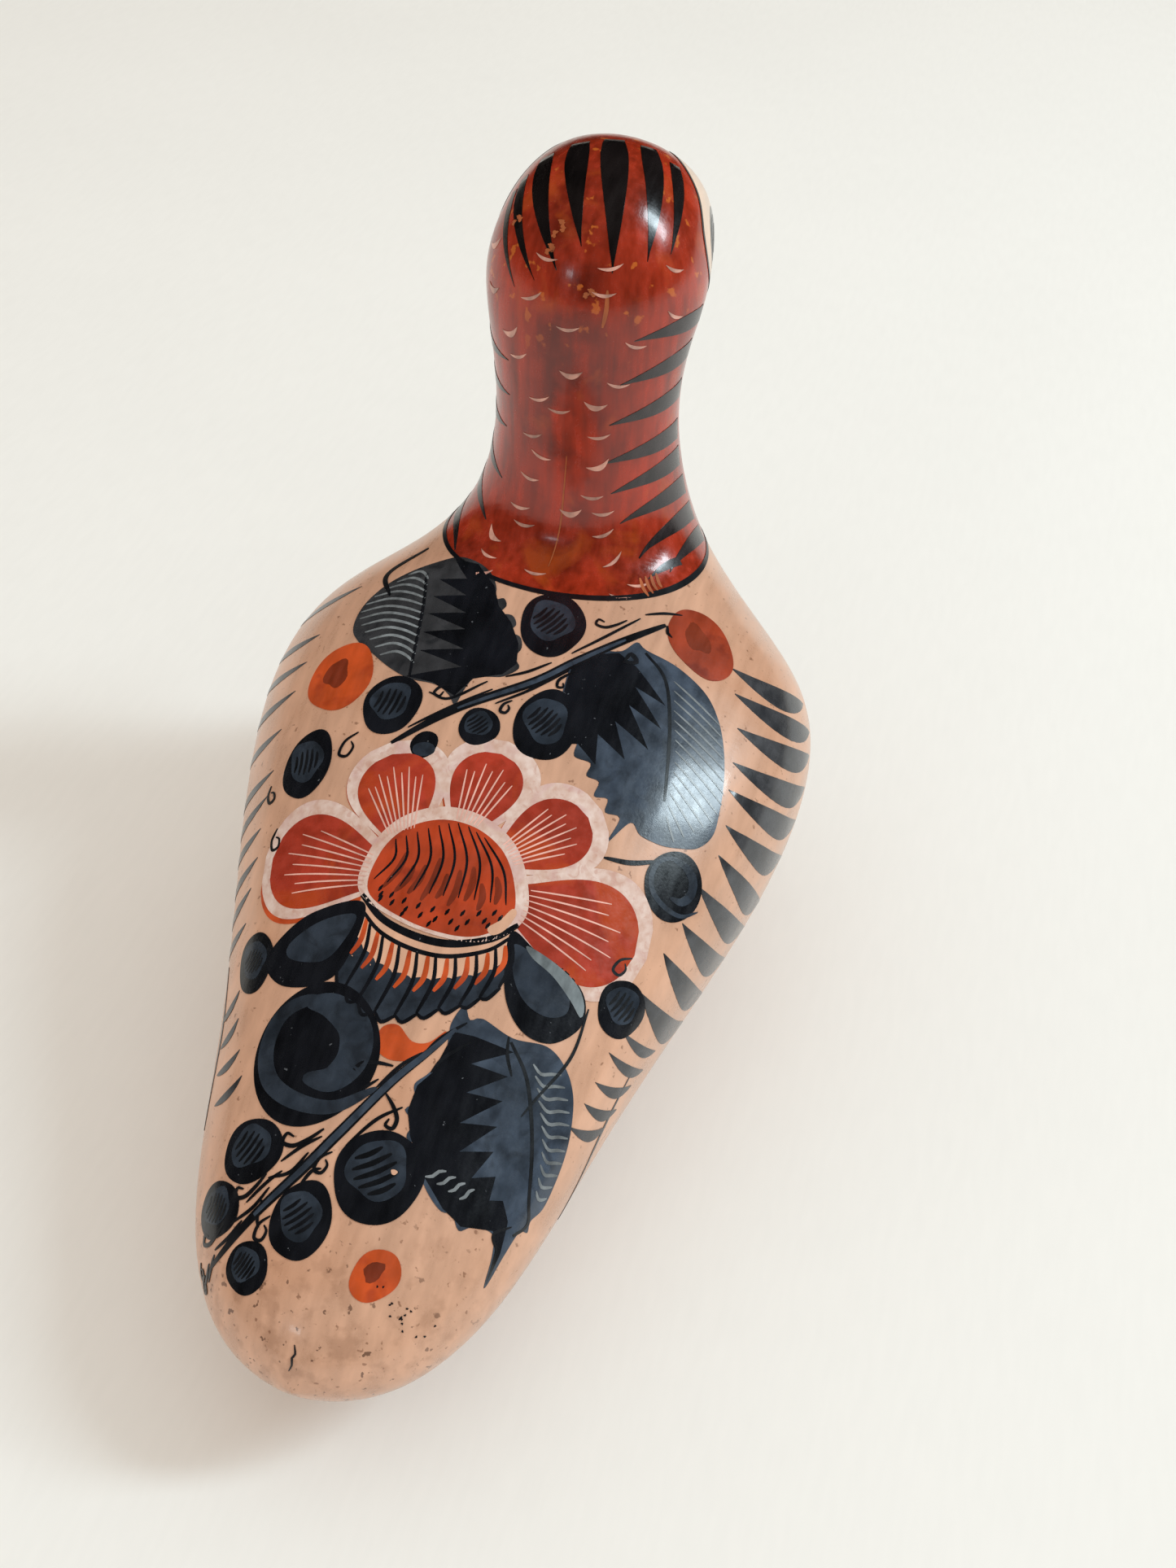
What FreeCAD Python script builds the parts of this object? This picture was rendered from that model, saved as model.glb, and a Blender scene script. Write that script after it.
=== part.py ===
"""Hollow clay bird: a rounded body drawn out to a blunt tail, with an upright neck and head.

Two moulded body halves, two neck-and-head halves, a beak and six loose clay pellets.
Units are millimetres. The bird faces -Y, +Z is up and X = 0 is the seam between the halves.
"""
import FreeCAD, Part
import math
import os

Vector = FreeCAD.Vector

# ---------------------------------------------------------------- driving sizes
LENGTH = 276.0          # breast to tail tip
BODY_WIDTH = 154.0      # widest part of the body
HEIGHT = 219.0          # resting face to the crown
NECK_WIDTH = 48.0       # narrowest part of the neck
HEAD_WIDTH = 56.0       # widest part of the head
WALL = 5.0              # fired clay wall
BASE_DEPTH = 5.0        # how far the rounded belly is pressed flat to make the resting face
FLOOR_FAIR = 70.0       # height over which the extra clay of the floor fades into the wall

JOIN_HEIGHT = 117.4     # neck-root joint, above the point named next
JOIN_Y = -60.0          # along the bird, where JOIN_HEIGHT is measured
JOIN_SLOPE = 0.128      # rise of the joint towards the tail

BEAK_ROOT_R = 9.0       # beak where it meets the face
BEAK_TIP_R = 2.0        # rounded beak tip
BEAK_REACH = 15.0       # how far the beak stands out from the face
BEAK_DROP = 20.0        # degrees below level
BEAK_INSET = 8.0        # depth of the cone inside the face before it is trimmed to it

VENT_R = 2.5            # firing vent through the floor
VENT_Y = 62.0           # vent position behind the pellets

PELLET_R = 3.5          # loose pellets
PELLET_COUNT = 6
PELLET_PITCH = 9.0      # side by side spacing of the pellet lanes
PELLET_Y = -18.0        # lowest part of the floor
PELLET_GAP = 0.4        # air left under each pellet

# Sections from the tail to the face, each one ring of control points (drawn sizes in mm):
#   back point (y, z), belly point (y, z), half width, share of the height where it is widest
SECTIONS = [
    (138, 35, 138, 35, 0, 0.50),
    (136, 45, 135, 24, 16, 0.50),
    (121, 56, 120, 15, 32, 0.53),
    (92, 66, 94, 9, 42, 0.58),
    (55, 82, 60, 1, 50, 0.62),
    (19, 99, 22, -4, 62, 0.66),
    (-17, 111, -21, -5, 74, 0.65),
    (-41, 117, -68, -4, 78, 0.65),
    (-54, 120, -114, 12, 72, 0.61),
    (-62, 124, -135, 50, 51, 0.53),
    (-65, 133, -128, 88, 34, 0.51),
    (-66, 146, -119, 118, 26.5, 0.50),
    (-65, 162, -110, 147, 23.7, 0.49),
    (-63, 181, -108, 166, 25.5, 0.49),
    (-66, 199, -113, 176, 29, 0.48),
    (-77, 214, -121, 179, 27.5, 0.47),
    (-98, 222, -132, 180, 24.5, 0.47),
    (-120, 215, -139, 186, 17, 0.48),
    (-137, 196, -137, 196, 0, 0.50),
]
DRAWN_LENGTH, DRAWN_WIDTH, DRAWN_HEIGHT = 276.0, 154.0, 219.0
DRAWN_NECK, DRAWN_HEAD = 48.0, 56.0
NECK_FIRST, HEAD_FIRST = 10, 14     # first sections that belong to the neck and to the head

AROUND = 16                         # control points around a section
DEGREE = 3
BIG = 600.0


# ---------------------------------------------------------------- control net
def scaled_sections():
    """The section table brought to the driving sizes."""
    ky, kz = LENGTH / DRAWN_LENGTH, HEIGHT / DRAWN_HEIGHT
    rows = []
    for i, (dy, dz, vy, vz, half, widest) in enumerate(SECTIONS):
        if i >= HEAD_FIRST:
            kx = HEAD_WIDTH / DRAWN_HEAD
        elif i >= NECK_FIRST:
            kx = NECK_WIDTH / DRAWN_NECK
        else:
            kx = BODY_WIDTH / DRAWN_WIDTH
        rows.append((dy * ky, dz * kz, vy * ky, vz * kz, half * kx, widest))
    return rows


def ring(row):
    """Control points of one section, from the back over the +X side and round by the belly."""
    dy, dz, vy, vz, half, widest = row
    my, mz = vy + (dy - vy) * widest, vz + (dz - vz) * widest
    step = 2.0 * math.pi / AROUND
    swell = 3.0 / (2.0 + math.cos(step))    # puts the curve itself on the drawn ellipse
    points = []
    for j in range(AROUND):
        c, s = math.cos(j * step), math.sin(j * step)
        if c >= -1e-9:
            y, z = my + swell * c * (dy - my), mz + swell * c * (dz - mz)
        else:
            y, z = my + swell * c * (my - vy), mz + swell * c * (mz - vz)
        points.append(Vector(swell * half * s, y, z))
    return points


def outer_net():
    return [ring(row) for row in scaled_sections()]


def half_surface(net):
    """The +X half of a net as a clamped surface whose two long edges lie in X = 0."""
    half = AROUND // 2
    rows = []
    for q in net:
        row = [(q[-1] + q[0] * 4 + q[1]) * (1 / 6.0), (q[0] * 2 + q[1]) * (1 / 3.0)]
        row += q[1:half]
        row += [(q[half - 1] + q[half] * 2) * (1 / 3.0),
                (q[half - 1] + q[half] * 4 + q[half + 1]) * (1 / 6.0)]
        rows.append(row)
    spans = len(rows) - DEGREE
    surface = Part.BSplineSurface()
    surface.buildFromPolesMultsKnots(
        rows,
        [DEGREE + 1] + [1] * (spans - 1) + [DEGREE + 1],
        [DEGREE + 1] + [1] * (half - 1) + [DEGREE + 1],
        [i / float(spans) for i in range(spans + 1)],
        [float(i) for i in range(half + 1)],
        False, False, DEGREE, DEGREE)
    return surface


def outward(surface, u, v, inside):
    """Unit normal of the surface, pointing away from the inside point."""
    tu, tv = surface.tangent(u, v)
    n = tu.cross(tv)
    n.normalize()
    return n if n.dot(surface.value(u, v) - inside) > 0 else n * -1.0


def inner_net(outer, depth):
    """The net moved inwards by depth, with a thicker floor behind the resting face."""
    surface = half_surface(outer)
    half, last = AROUND // 2, len(outer) - 1
    spans = last + 1 - DEGREE
    knots = [0.0] * DEGREE + [i / float(spans) for i in range(spans + 1)] + [1.0] * DEGREE
    centres = [sum(q, Vector()) * (1.0 / AROUND) for q in outer]
    net = []
    for i, q in enumerate(outer):
        if i in (0, last):
            beside = centres[1 if i == 0 else last - 1]
            inward = beside - q[0]
            inward.normalize()
            net.append([q[0] + inward * (depth * 1.15)] * AROUND)
            continue
        u = sum(knots[i + 1:i + 1 + DEGREE]) / DEGREE
        side = []
        for j in range(half + 1):
            n = outward(surface, u, float(j), centres[i])
            if j in (0, half):
                n.x = 0.0
                n.normalize()
            p = q[j] - n * depth
            p.z += BASE_DEPTH * max(0.0, 1.0 - max(0.0, p.z) / FLOOR_FAIR) ** 2
            side.append(p)
        side[0].x = side[half].x = 0.0
        net.append(side + [Vector(-p.x, p.y, p.z) for p in reversed(side[1:half])])
    return net


def half_solid(net):
    """Closed solid of the +X half of a net."""
    surface = half_surface(net)
    skin = surface.toShape()
    rails = [surface.vIso(0.0).toShape(), surface.vIso(float(AROUND // 2)).toShape()]
    cap = Part.Face(Part.Wire(Part.__sortEdges__(rails)))
    shell = Part.makeShell([skin, cap])
    shell.sewShape()
    solid = Part.Solid(Part.Shell(shell.Faces))
    if solid.Volume < 0:
        solid.reverse()
    return solid


# ---------------------------------------------------------------- cutting tools
def join_z(y):
    """Height of the neck-root joint at y."""
    k = HEIGHT / DRAWN_HEIGHT
    return JOIN_HEIGHT * k + JOIN_SLOPE * (y - JOIN_Y * LENGTH / DRAWN_LENGTH)


def above_join():
    """Everything above the neck-root joint."""
    block = Part.makeBox(2 * BIG, 2 * BIG, BIG, Vector(-BIG, -BIG, 0))
    block.rotate(Vector(), Vector(1, 0, 0), math.degrees(math.atan(JOIN_SLOPE)))
    block.translate(Vector(0, 0, join_z(0.0)))
    return block


def below_rest():
    """Everything below the resting face."""
    return Part.makeBox(2 * BIG, 2 * BIG, BIG, Vector(-BIG, -BIG, -BIG))


def other_side(shape):
    return shape.mirror(Vector(), Vector(1, 0, 0))


def one_solid(shape, name):
    solids = sorted(shape.Solids, key=lambda s: s.Volume)
    if not solids:
        raise RuntimeError(name + " is empty")
    return solids[-1]


# ---------------------------------------------------------------- pieces
def clay_half():
    """One half of the hollow bird with its resting face and half of the vent."""
    net = outer_net()
    outer = half_solid(net).cut(below_rest())
    inner = half_solid(inner_net(net, WALL))
    vent = Part.makeCylinder(VENT_R, 8 * WALL, Vector(0, VENT_Y, -WALL))
    return one_solid(outer, "outer"), one_solid(outer.cut(inner).cut(vent), "clay half")


def beak(outer_halves):
    """A small hand-drawn cone trimmed to the face."""
    tip = outer_net()[-1][0]
    cone = Part.makeCone(BEAK_ROOT_R, BEAK_TIP_R, BEAK_INSET + BEAK_REACH - BEAK_TIP_R)
    ball = Part.makeSphere(BEAK_TIP_R, Vector(0, 0, BEAK_INSET + BEAK_REACH - BEAK_TIP_R))
    shape = cone.fuse(ball)
    shape.rotate(Vector(), Vector(1, 0, 0), 90.0 + BEAK_DROP)
    shape.translate(tip + Vector(0, BEAK_INSET, 0))
    for half in outer_halves:
        shape = shape.cut(half)
    parts = sorted(shape.Solids, key=lambda s: s.BoundBox.YMin)
    return parts[0]


def pellet(x, halves):
    """A ball let down until it almost touches the floor."""
    clay = halves[0] if x > 0 else halves[1]
    z = WALL + 6 * PELLET_R
    for _ in range(8):
        ball = Part.makeSphere(PELLET_R, Vector(x, PELLET_Y, z))
        z -= ball.distToShape(clay)[0] - PELLET_GAP
    return Part.makeSphere(PELLET_R, Vector(x, PELLET_Y, z))


def build():
    outer, clay = clay_half()
    upper = above_join()
    body = one_solid(clay.cut(upper), "body half")
    neck = one_solid(clay.common(upper), "neck half")
    nodes = {
        "body_shell_right": other_side(body),
        "body_shell_left": body,
        "neck_head_shell_right": other_side(neck),
        "neck_head_shell_left": neck,
        "beak": beak([outer, other_side(outer)]),
    }
    for i in range(PELLET_COUNT):
        x = (i - (PELLET_COUNT - 1) / 2.0) * PELLET_PITCH
        nodes["pellet_%d" % (i + 1)] = pellet(x, [body, other_side(body)])
    box = Part.makeCompound(list(nodes.values())).optimalBoundingBox(False, False)
    shift = Vector(0, -(box.YMin + box.YMax) / 2.0, 0)
    for shape in nodes.values():
        shape.translate(shift)
    return nodes, shift


def main():
    os.makedirs("parts", exist_ok=True)
    nodes, shift = build()
    for name, shape in nodes.items():
        shape.exportStep("parts/%s.step" % name)
        b = shape.optimalBoundingBox(False, False)
        print("%-22s valid %s solids %d volume %.0f  x %.2f..%.2f  y %.2f..%.2f  z %.2f..%.2f" % (
            name, shape.isValid(), len(shape.Solids), shape.Volume,
            b.XMin, b.XMax, b.YMin, b.YMax, b.ZMin, b.ZMax))
    print("shift", shift)


main()
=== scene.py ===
"""Looks of a hollow burnished clay bird: a flower, leaves, berries and feather strokes on a cream ground,
a red neck and head, and the stage that it stands on."""
import math

import bpy
import numpy as np
from mathutils import Matrix, Vector
from mathutils.geometry import delaunay_2d_cdt


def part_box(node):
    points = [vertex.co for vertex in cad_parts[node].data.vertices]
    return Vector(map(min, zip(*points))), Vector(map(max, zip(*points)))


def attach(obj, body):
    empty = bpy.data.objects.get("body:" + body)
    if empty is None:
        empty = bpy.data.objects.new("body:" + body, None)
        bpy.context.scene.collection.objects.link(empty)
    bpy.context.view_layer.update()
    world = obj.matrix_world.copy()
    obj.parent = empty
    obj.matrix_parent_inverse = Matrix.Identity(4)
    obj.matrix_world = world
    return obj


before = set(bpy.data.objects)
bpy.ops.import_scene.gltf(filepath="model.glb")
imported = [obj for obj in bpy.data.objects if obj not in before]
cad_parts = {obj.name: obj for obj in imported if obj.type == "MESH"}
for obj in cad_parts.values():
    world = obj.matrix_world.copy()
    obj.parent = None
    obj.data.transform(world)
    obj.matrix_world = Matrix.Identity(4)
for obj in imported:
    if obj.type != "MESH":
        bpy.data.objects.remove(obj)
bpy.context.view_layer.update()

bl_info = {
    "name": "Clay bird rattle",
    "version": (1, 0, 0),
    "blender": (4, 5, 0),
    "location": "3D View > Sidebar > Clay bird",
    "description": "Paints and stages a hollow burnished clay bird",
    "category": "Object",
}

BODY = "bird"
CREAM, RED = "cream_slip_clay", "red_slip_clay"
MM = 0.001

# ---------------------------------------------------------------- the burnished surface

# Sections of the clay form from the tail to the face, in millimetres, as in the part's own drawing:
#   back point (y, z), belly point (y, z), half width, share of the height where it is widest
SECTIONS = np.array([
    (138, 35, 138, 35, 0, 0.50),
    (136, 45, 135, 24, 16, 0.50),
    (121, 56, 120, 15, 32, 0.53),
    (92, 66, 94, 9, 42, 0.58),
    (55, 82, 60, 1, 50, 0.62),
    (19, 99, 22, -4, 62, 0.66),
    (-17, 111, -21, -5, 74, 0.65),
    (-41, 117, -68, -4, 78, 0.65),
    (-54, 120, -114, 12, 72, 0.61),
    (-62, 124, -135, 50, 51, 0.53),
    (-65, 133, -128, 88, 34, 0.51),
    (-66, 146, -119, 118, 26.5, 0.50),
    (-65, 162, -110, 147, 23.7, 0.49),
    (-63, 181, -108, 166, 25.5, 0.49),
    (-66, 199, -113, 176, 29, 0.48),
    (-77, 214, -121, 179, 27.5, 0.47),
    (-98, 222, -132, 180, 24.5, 0.47),
    (-120, 215, -139, 186, 17, 0.48),
    (-137, 196, -137, 196, 0, 0.50),
], float)
AROUND = 16
TAIL_TIP_Y = 138.0


def control_net(shift_y):
    """Rings of control points, the bird's right side first; shift_y brings them to the frame."""
    step = 2 * math.pi / AROUND
    swell = 3.0 / (2.0 + math.cos(step))
    turn = np.arange(AROUND) * step
    back, belly = SECTIONS[:, 0:2], SECTIONS[:, 2:4]
    middle = belly + (back - belly) * SECTIONS[:, 5:6]
    c = np.cos(turn)[None, :, None]
    reach = np.where(c >= -1e-9, (back - middle)[:, None, :], (middle - belly)[:, None, :])
    yz = middle[:, None, :] + swell * c * reach
    x = -swell * SECTIONS[:, 4:5] * np.sin(turn)[None, :]
    net = np.concatenate([x[..., None], yz], axis=2)
    net[..., 1] += shift_y
    return net


def along_weights(u, count):
    """Weights of the sections at u, from 0 at the tail to 1 at the face."""
    knots = np.concatenate([np.zeros(3), np.linspace(0, 1, count - 2), np.ones(3)])
    u = np.clip(u, 0.0, 1.0 - 1e-9)[:, None]
    weights = ((u >= knots[None, :-1]) & (u < knots[None, 1:])).astype(float)
    for degree in (1, 2, 3):
        first, last = knots[:-degree - 1], knots[degree:-1]
        rise = np.where(last > first, (u - first) / np.maximum(last - first, 1e-12), 0.0)
        first, last = knots[1:-degree], knots[degree + 1:]
        fall = np.where(last > first, (last - u) / np.maximum(last - first, 1e-12), 0.0)
        weights = rise * weights[:, :-1] + fall * weights[:, 1:]
    return weights


def around_weights(v):
    """Weights of the control points around a section at v, one unit for each of them."""
    weights = np.zeros((len(v), AROUND))
    whole = np.floor(v).astype(int)
    f = v - whole
    parts = ((1 - f) ** 3, 3 * f ** 3 - 6 * f ** 2 + 4, -3 * f ** 3 + 3 * f ** 2 + 3 * f + 1, f ** 3)
    rows = np.arange(len(v))
    for k, part in enumerate(parts):
        weights[rows, (whole - 1 + k) % AROUND] += part / 6.0
    return weights


def clay_point(s, a):
    """Points of the burnished surface, in mm: s runs 0 to 1000 from tail to face, a is degrees from the back
    midline, positive on the bird's right."""
    w = along_weights(s / 1000.0, len(SECTIONS))
    v = around_weights(np.mod(a / 360.0 * AROUND, AROUND))
    return (np.tensordot(w, NET, axes=(1, 0)) * v[:, :, None]).sum(axis=1)


def clay_frame(s, a):
    """Point, step per unit of s, step per degree of a and outward normal of the surface."""
    ds, da = 0.5, 0.25
    p = clay_point(s, a)
    ts = (clay_point(s + ds, a) - clay_point(s - ds, a)) / (2 * ds)
    ta = (clay_point(s, a + da) - clay_point(s, a - da)) / (2 * da)
    n = np.cross(ta, ts)
    n /= np.linalg.norm(n, axis=1, keepdims=True) + 1e-12
    return p, ts, ta, n


def travel(s0, a0, right, head, steps=10):
    """Surface places reached from (s0, a0) by going right mm to the bird's right and head mm to its head."""
    right, head = np.atleast_1d(np.asarray(right, float)), np.atleast_1d(np.asarray(head, float))
    shape = right.shape
    right, head = right.ravel(), head.ravel()
    s = np.full(right.size, float(s0)) if np.ndim(s0) == 0 else np.array(s0, float).ravel()
    a = np.full(right.size, float(a0)) if np.ndim(a0) == 0 else np.array(a0, float).ravel()
    p, ts, ta, n = clay_frame(s, a)
    along = ts / np.linalg.norm(ts, axis=1, keepdims=True)
    across = np.cross(along, n)
    across *= np.sign((across * ta).sum(1, keepdims=True))
    way = across * right[:, None] + along * head[:, None]
    far = np.linalg.norm(way, axis=1, keepdims=True)
    way = way / np.maximum(far, 1e-9)
    for _ in range(steps):
        d = way * far / steps
        ss, sa, aa = (ts * ts).sum(1), (ts * ta).sum(1), (ta * ta).sum(1)
        bs, ba = (ts * d).sum(1), (ta * d).sum(1)
        det = ss * aa - sa * sa + 1e-12
        s = np.clip(s + (bs * aa - ba * sa) / det, 1.0, 999.0)
        a = a + (ba * ss - bs * sa) / det
        p, ts, ta, n = clay_frame(s, a)
        way = way - (way * n).sum(1, keepdims=True) * n
        way /= np.linalg.norm(way, axis=1, keepdims=True) + 1e-12
    return s.reshape(shape), a.reshape(shape)


NET_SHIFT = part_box("body_shell_left")[1][1] / MM - TAIL_TIP_Y
NET = control_net(NET_SHIFT)


# ---------------------------------------------------------------- coats of slip

SINK = 0.12


def smooth_line(points, gap=1.0, closed=False):
    """A smooth line through points of the painter's flat sheet, with a point about every gap mm."""
    p = np.array(points, float)
    if closed:
        p = np.vstack([p[-1], p, p[0], p[1]])
    else:
        p = np.vstack([2 * p[0] - p[1], p, 2 * p[-1] - p[-2]])
    parts = []
    for i in range(1, len(p) - 2):
        before, start, end, after = p[i - 1:i + 3]
        count = max(1, int(math.ceil(np.linalg.norm(end - start) / gap)))
        t = (np.arange(count) / count)[:, None]
        straight = 2 * start + (end - before) * t
        bent = (2 * before - 5 * start + 4 * end - after) * t ** 2
        twisted = (3 * start - before - 3 * end + after) * t ** 3
        parts.append(0.5 * (straight + bent + twisted))
    if not closed:
        parts.append(p[-2:-1])
    return np.vstack(parts)


def straight_line(points, gap=1.0):
    """A closed outline with sharp corners, with a point about every gap mm."""
    p = np.array(points, float)
    parts = []
    for start, end in zip(p, np.roll(p, -1, axis=0)):
        count = max(1, int(math.ceil(np.linalg.norm(end - start) / gap)))
        parts.append(start + (end - start) * (np.arange(count) / count)[:, None])
    return np.vstack(parts)


def inside(outline, spots):
    """Which spots lie inside a closed outline."""
    x, y = spots[:, 0:1], spots[:, 1:2]
    ax, ay = outline[None, :, 0], outline[None, :, 1]
    bx, by = np.roll(ax, -1, axis=1), np.roll(ay, -1, axis=1)
    crosses = (ay > y) != (by > y)
    run = np.where(by == ay, 1.0, by - ay)
    return (crosses & (x < ax + (y - ay) * (bx - ax) / run)).sum(axis=1) % 2 == 1


class Coat:
    """Thin closed coats of one slip, gathered into one mesh that lies on the burnished clay."""

    def __init__(self):
        self.points, self.faces, self.count = [], [], 0

    def add(self, s, a, faces, lift):
        """One coat over surface places (s, a): its top is lift mm proud and its underside is in the clay."""
        p, _, _, n = clay_frame(s, a)
        faces = np.array(faces)
        corner = p[faces[:, :3]]
        way = np.cross(corner[:, 1] - corner[:, 0], corner[:, 2] - corner[:, 0])
        if (way * n[faces[:, 0]]).sum() < 0:
            faces = faces[:, ::-1]
        edges = {}
        for face in faces.tolist():
            for start, end in zip(face, face[1:] + face[:1]):
                edges[(start, end)] = True
        rim = [e for e in edges if (e[1], e[0]) not in edges]
        here, under = self.count, self.count + len(p)
        self.points += [p + n * lift, p - n * SINK]
        self.faces += (faces + here).tolist()
        self.faces += (faces[:, ::-1] + under).tolist()
        self.faces += [(here + j, here + i, under + i, under + j) for i, j in rim]
        self.count += 2 * len(p)

    def patch(self, place, outline, lift, gap=2.2):
        """A filled outline in mm to the right and to the head of a place on the clay."""
        outline = np.array(outline, float)
        low, high = outline.min(axis=0), outline.max(axis=0)
        xs, ys = np.arange(low[0], high[0], gap), np.arange(low[1], high[1], gap * 0.87)
        grid = np.array([(x + (row % 2) * gap / 2, y) for row, y in enumerate(ys) for x in xs])
        if len(grid):
            grid = grid[inside(outline, grid)]
        if len(grid):
            near = np.linalg.norm(grid[:, None] - outline[None], axis=2).min(axis=1)
            grid = grid[near > 0.35 * gap]
        flat = np.vstack([outline, grid]) if len(grid) else outline
        ring = list(range(len(outline)))
        made = delaunay_2d_cdt([Vector(v) for v in flat], [], [ring], 1, 1e-5)
        spots = np.array([tuple(v) for v in made[0]])
        s, a = travel(place[0], place[1], spots[:, 0], spots[:, 1])
        self.add(s, a, [list(f) for f in made[2]], lift)

    def line(self, place, points, width, lift, taper=0.35, gap=1.0):
        """A brush line through points in mm round a place: full in the middle, thinner at its ends."""
        path = smooth_line(points, gap)
        s, a = travel(place[0], place[1], path[:, 0], path[:, 1])
        t = np.linspace(0, 1, len(path))
        full = np.sin(np.pi * np.clip(t, 0.0, 1.0)) ** 0.6
        self.trail(s, a, 0.5 * width * (taper + (1 - taper) * full), lift)

    def trail(self, s, a, half, lift, closed=False):
        """A strip along surface places, half mm wide to each side."""
        p, ts, ta, n = clay_frame(s, a)
        ahead, behind = np.roll(p, -1, axis=0), np.roll(p, 1, axis=0)
        if not closed:
            ahead[-1], behind[0] = p[-1], p[0]
        side = np.cross(n, ahead - behind)
        side *= (np.asarray(half) / np.linalg.norm(side, axis=1))[:, None]
        ss, sa, aa = (ts * ts).sum(1), (ts * ta).sum(1), (ta * ta).sum(1)
        bs, ba = (ts * side).sum(1), (ta * side).sum(1)
        det = ss * aa - sa * sa
        ds, da = (bs * aa - ba * sa) / det, (ba * ss - bs * sa) / det
        across = (-1.0, 0.0, 1.0)
        rows = np.array([(s + k * ds, a + k * da) for k in across])
        count, wide = len(s), len(across)
        steps = range(count if closed else count - 1)
        faces = [((i + 1) % count * wide + k, i * wide + k, i * wide + k + 1, (i + 1) % count * wide + k + 1)
                 for i in steps for k in range(wide - 1)]
        self.add(rows[:, 0].T.ravel(), rows[:, 1].T.ravel(), faces, lift)

    def piece(self, name, material, slot=CREAM):
        """The coats as one finished piece that rides on the bird."""
        mesh = bpy.data.meshes.new(name)
        mesh.from_pydata((np.vstack(self.points) * MM).tolist(), [], self.faces)
        return finish(name, mesh, material)


def finish(name, mesh, material):
    """Links a mesh as a named piece, smooth on top with crisp rims, and sets what it rides on."""
    mesh.materials.clear()
    mesh.materials.append(material)
    mesh.shade_smooth()
    mesh.set_sharp_from_angle(angle=math.radians(35))
    piece = bpy.data.objects.new(name, mesh)
    bpy.context.scene.collection.objects.link(piece)
    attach(piece, BODY)
    return piece


def blob(x, y, width, height, turn=0.0, dents=0.0, lobes=3, start=0.0, gap=1.0):
    """An outline of a hand-painted round spot, in mm."""
    count = max(14, int(math.pi * (width + height) / 2 / gap))
    t = np.arange(count) * 2 * math.pi / count
    r = 1 + dents * np.sin(lobes * t + start) + 0.5 * dents * np.sin((lobes + 2) * t + 2 * start)
    px, py = 0.5 * width * r * np.cos(t), 0.5 * height * r * np.sin(t)
    c, k = math.cos(math.radians(turn)), math.sin(math.radians(turn))
    return np.column_stack([x + px * c - py * k, y + px * k + py * c])


# ---------------------------------------------------------------- brush marks laid by Geometry Nodes

def dab(name, width_at, bend, rows=14):
    """One brush mark of unit length and width, closed, with a top attribute of 1 on its upper side."""
    mesh = bpy.data.meshes.new(name)
    verts, top = [], []
    for i in range(rows + 1):
        t = i / rows
        half = 0.5 * max(width_at(t), 0.02)
        middle = -bend * 4 * t * (1 - t)
        for upper in (1.0, 0.0):
            verts += [(t - 0.5, middle + k * half, upper) for k in (-1, 0, 1)]
            top += [upper] * 3
    faces = []
    for i in range(rows):
        for k in range(2):
            near, far = 6 * i + k, 6 * i + 6 + k
            faces.append((near, far, far + 1, near + 1))
            faces.append((near + 4, far + 4, far + 3, near + 3))
        for k, flip in ((0, False), (2, True)):
            near, far = 6 * i + k, 6 * i + 6 + k
            wall = (near, near + 3, far + 3, far)
            faces.append(wall[::-1] if flip else wall)
    last = 6 * rows
    faces += [(0, 1, 4, 3), (1, 2, 5, 4)]
    faces += [(last + 3, last + 4, last + 1, last), (last + 4, last + 5, last + 2, last + 1)]
    mesh.from_pydata(verts, [], faces)
    mesh.attributes.new("top", "FLOAT", "POINT").data.foreach_set("value", top)
    piece = bpy.data.objects.new(name, mesh)
    bpy.context.scene.collection.objects.link(piece)
    return piece


def skin_guide():
    """The burnished surface as a fine mesh with its outward direction, for laying brush marks on."""
    rings, places = 240, 160
    s = np.repeat(np.linspace(2, 998, rings), places)
    a = np.tile(np.arange(places) * 360.0 / places, rings)
    p, _, _, n = clay_frame(s, a)
    faces = []
    for i in range(rings - 1):
        for k in range(places):
            after = (k + 1) % places
            faces.append((i * places + k, i * places + after, (i + 1) * places + after, (i + 1) * places + k))
    mesh = bpy.data.meshes.new("skin_guide")
    mesh.from_pydata((p * MM).tolist(), [], faces)
    mesh.attributes.new("outward", "FLOAT_VECTOR", "POINT").data.foreach_set("vector", n.ravel())
    guide = bpy.data.objects.new("skin_guide", mesh)
    bpy.context.scene.collection.objects.link(guide)
    return guide


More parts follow.
